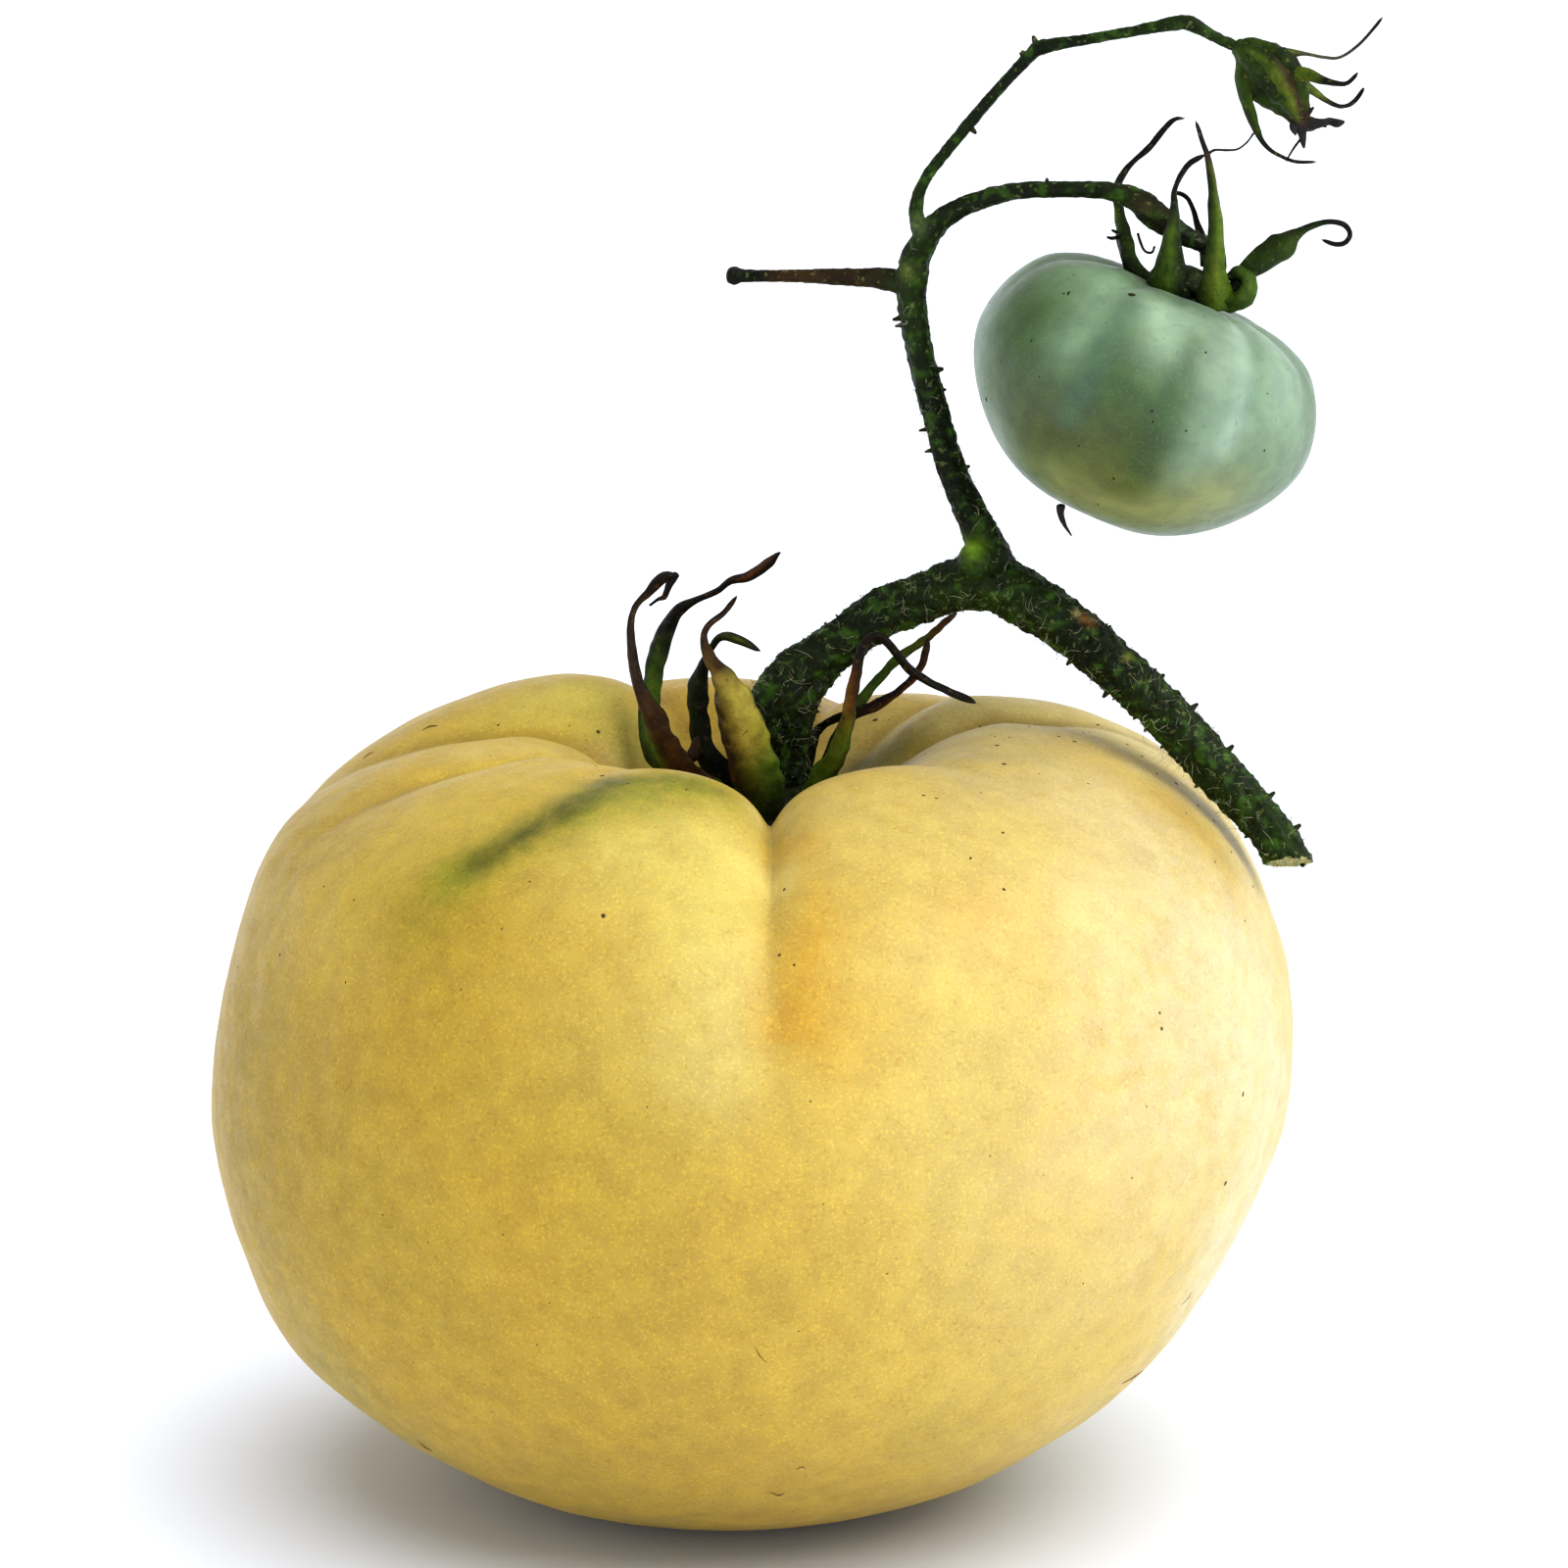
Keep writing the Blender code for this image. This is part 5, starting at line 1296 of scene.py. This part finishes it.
def specks(surface, table, scars, scattered, sizes, colour, seed):
    draw = np.random.default_rng(seed)
    shapes = []
    for order, (pixel, size) in enumerate(table):
        place, normal = surface.under(*pixel)
        if place:
            shade = PALETTE[colour] * draw.uniform(0.6, 1.2)
            shapes.append((*speck(place, normal, size, order), shade))
    for order in range(scattered):
        aim = Vector(surface.points[draw.integers(len(surface.points))])
        place, normal, _, _ = surface.tree.find_nearest(aim)
        shade = PALETTE[colour] * draw.uniform(0.8, 1.8)
        shapes.append((*speck(place, normal, draw.uniform(*sizes), order + 50), shade))
    for order, (pixels, size) in enumerate(scars):
        line = surface.line(pixels)
        if len(line) > 3:
            sizes_along = size * np.sin(np.linspace(0.3, math.pi - 0.3, len(line)))
            route = np.column_stack([line, sizes_along])
            shapes.append(tube(route, 7, 0.15, colour, lumps=0.4, seed=order + 1.0))
    return joined(shapes)


# Put together

ripe, ripe_surface = ripe_shape()
piece("ripe_fruit", ripe, ripe_look(), "ripe_skin", "tomato")
cork = plain_look("cork", 0.75, 0.3)
piece("ripe_specks", specks(ripe_surface, RIPE_SPECKS, RIPE_SCARS, 160, (0.05, 0.11), "tan", 3), cork,
      "ripe_skin")

unripe, unripe_surface = green_shape()
piece("unripe_fruit", unripe, unripe_look(), "unripe_skin", "green_tomato")
piece("unripe_specks", specks(unripe_surface, GREEN_SPECKS, [], 50, (0.05, 0.1), "dark", 4), cork,
      "unripe_skin")

stem_track = Track(STEM_ROUTES)
stem_points, stem_faces = stem_shape(stem_track)
stem = (stem_points, stem_faces, stem_colours(stem_points, stem_track))
stem_material = plant_look("stem", 0.5, 0.42, (150, 165, 90), 0.22)
piece("truss", stem, stem_material, "stem", "truss_stem")
chance = np.random.default_rng(11)
piece("truss_nubs", joined(nub_shapes(stem_track, stem, chance)), stem_material, "stem")
hair_look = plain_look("hair", 0.5, 0.4)
hairiness = stem_track.nearest(stem_points)[:, Track.DOWN]
piece("truss_down", hairs(stem, hairiness, *DOWN, 7, "fuzz"), hair_look, "stem")
piece("truss_hairs", hairs(stem, hairiness**2, *LONG_HAIRS, 8, "down", 1.5), hair_look, "stem")

sepal_look = plant_look("ripe_sepals", 0.4, 0.5, (120, 84, 44), 0.25)
ripe_centre = Matrix.Translation(RIPE_SEAT)
ripe_calyx = joined([disc(RIPE_DISC, ripe_centre, 60, RIPE_DISC_GREEN_AND_SHADE, 1.0), *threads(RIPE_THREADS),
                     *calyx(RIPE_SEPALS, RIPE_SEPAL_COLOURS, RIPE_ROOT, ripe_centre, 1.0)])
piece("ripe_calyx", ripe_calyx, sepal_look, "ripe_sepals", "tomato_calyx")

green_sepal_look = plant_look("unripe_sepals", 0.4, 0.42, (120, 140, 60), 0.2)
green_centre = green_frame() @ Matrix.Translation((0, 0, GREEN_SEAT_HEIGHT))
roll = tube(placed(GREEN_ROLL), 20, 0.12, GREEN_ROLL_COLOURS, ribs=3, rib_depth=0.14, lumps=0.2, seed=3.0)
# Painted shade inside the rolled sepal
hollow = tube(placed(GREEN_HOLLOW_SHADE), 16, 0.12, "shade", lumps=0.2, seed=4.0)
green_calyx = joined([disc(GREEN_DISC, green_centre, 40, "dark", 2.0), roll, hollow, *threads(GREEN_THREADS),
                      *calyx(GREEN_SEPALS, GREEN_SEPAL_COLOURS, [], green_centre, 20.0)])
piece("unripe_calyx", green_calyx, green_sepal_look, "unripe_sepals", "green_calyx")

flower_look = plant_look("flower_sepals", 0.35, 0.45, (140, 150, 60), 0.25)
flower_leaves = [leaf(towards, placed(rows), FLOWER_SEPAL_COLOURS[name], 40 + order * 1.3)
                 for order, (name, (towards, rows)) in enumerate(FLOWER_SEPALS.items())]
cup = tube(placed(FLOWER_CUP), 40, 0.15, FLOWER_CUP_COLOURS, ribs=5, rib_depth=0.12, lumps=0.1, seed=5.0)
ridge = leaf(-5, placed(FLOWER_RIDGE), FLOWER_RIDGE_COLOURS, 50.0, twist=8.0, ruffle=0.1, roll=0.1)
piece("flower_cup", joined([cup, ridge, *flower_leaves]), flower_look, "flower_sepals", "flower_calyx")

dry_look = plain_look("dried_flower", 0.7, 0.35)
petals = [tube(placed(route), 10, 0.15, "0 brown, 0.4 black", ribs=3, rib_depth=0.25, lumps=0.4, seed=order)
          for order, route in enumerate(DRIED_PETALS)]
piece("dried_petals", joined([*petals, *threads(PETAL_THREADS)]), dry_look, "dried_flower", "flower_petals")
style_route = [(*(green_frame() @ Vector(row[:3])), row[3] * taper)
               for row, taper in zip(DRIED_STYLE, (0.95, 0.85, 0.6, 0.25))]
style = tube(style_route, 10, 0.15, "black", lumps=0.2, seed=1.0)
piece("style", style, dry_look, "dried_flower", "dried_style")


# Stage, light and camera

# The floor's (radius, height) in metres, and how far it lies under the fruit
FLOOR_PROFILE = [
    (0, 0), (0.6, 0), (1.6, 0), (2.6, 0), (3.2, 0.06), (3.6, 0.25), (3.85, 0.6), (3.9, 1),
]
FLOOR_RINGS = 48
FLOOR_SIDES = 96
FLOOR_GAP = 0.0001
WORLD_STRENGTH = 0.66


def floor_object():
    """A round floor that curves up at its edge into a backdrop."""
    line = smooth(FLOOR_PROFILE, FLOOR_RINGS, 2)
    turns = np.linspace(0, 2 * math.pi, FLOOR_SIDES, endpoint=False)
    circle = np.column_stack([np.sin(turns), np.cos(turns), np.zeros(FLOOR_SIDES)])
    rings = [circle * radius + (0, 0, max(height, 0.0)) for radius, height in line[1:]]
    points = np.vstack([[(0, 0, 0)], *rings]) + (0, 0, -FLOOR_GAP)
    faces = [(0, 1 + (s + 1) % FLOOR_SIDES, 1 + s) for s in range(FLOOR_SIDES)]
    for ring in range(len(rings) - 1):
        low = 1 + ring * FLOOR_SIDES
        for s in range(FLOOR_SIDES):
            nxt = (s + 1) % FLOOR_SIDES
            faces.append((low + s, low + nxt, low + FLOOR_SIDES + nxt, low + FLOOR_SIDES + s))
    floor = object_of("floor", points, faces, 1.0)
    look = Look("floor", {"Base Color": (0.7, 0.73, 0.8, 1.0), "Roughness": 0.95,
                          "Specular IOR Level": 0.0})
    floor.data.materials.append(look.material)
    return outward(floor)


def sun(name, azimuth, elevation, strength, angle, colour):
    lamp = bpy.data.lights.new(name, "SUN")
    lamp.energy = strength
    lamp.angle = math.radians(angle)
    lamp.color = colour
    obj = bpy.data.objects.new(name, lamp)
    obj.rotation_euler = (math.radians(90 - elevation), 0, math.radians(azimuth))
    bpy.context.scene.collection.objects.link(obj)
    return obj


floor = floor_object()
key = sun("key", 62, 40, 2.7, 46, (1.0, 0.99, 0.98))
overhead = sun("overhead", 60, 72, 4.4, 80, (1.0, 1.0, 1.0))
for lamp, state in ((key, "EXCLUDE"), (overhead, "INCLUDE")):
    lit = bpy.data.collections.new(lamp.name + "_floor")
    lit.objects.link(floor)
    lit.collection_objects[0].light_linking.link_state = state
    lamp.light_linking.receiver_collection = lit

world = bpy.data.worlds.new("studio")
world.use_nodes = True
world.node_tree.nodes["Background"].inputs["Color"].default_value = (1.0, 1.0, 1.0, 1.0)
world.node_tree.nodes["Background"].inputs["Strength"].default_value = WORLD_STRENGTH
bpy.context.scene.world = world
bpy.context.scene.view_settings.view_transform = "Standard"
bpy.context.scene.view_settings.look = "None"

lens = bpy.data.cameras.new("camera")
lens.sensor_width = SENSOR
lens.lens = SENSOR * VIEW_DISTANCE / (PHOTO_SIZE / PIXELS_PER_MM)
lens.clip_start = 0.01
lens.clip_end = 20
camera = bpy.data.objects.new("camera", lens)
camera.location = EYE * MM
camera.rotation_euler = (math.pi / 2 - VIEW_ELEVATION, 0, 0)
bpy.context.scene.collection.objects.link(camera)
bpy.context.scene.camera = camera
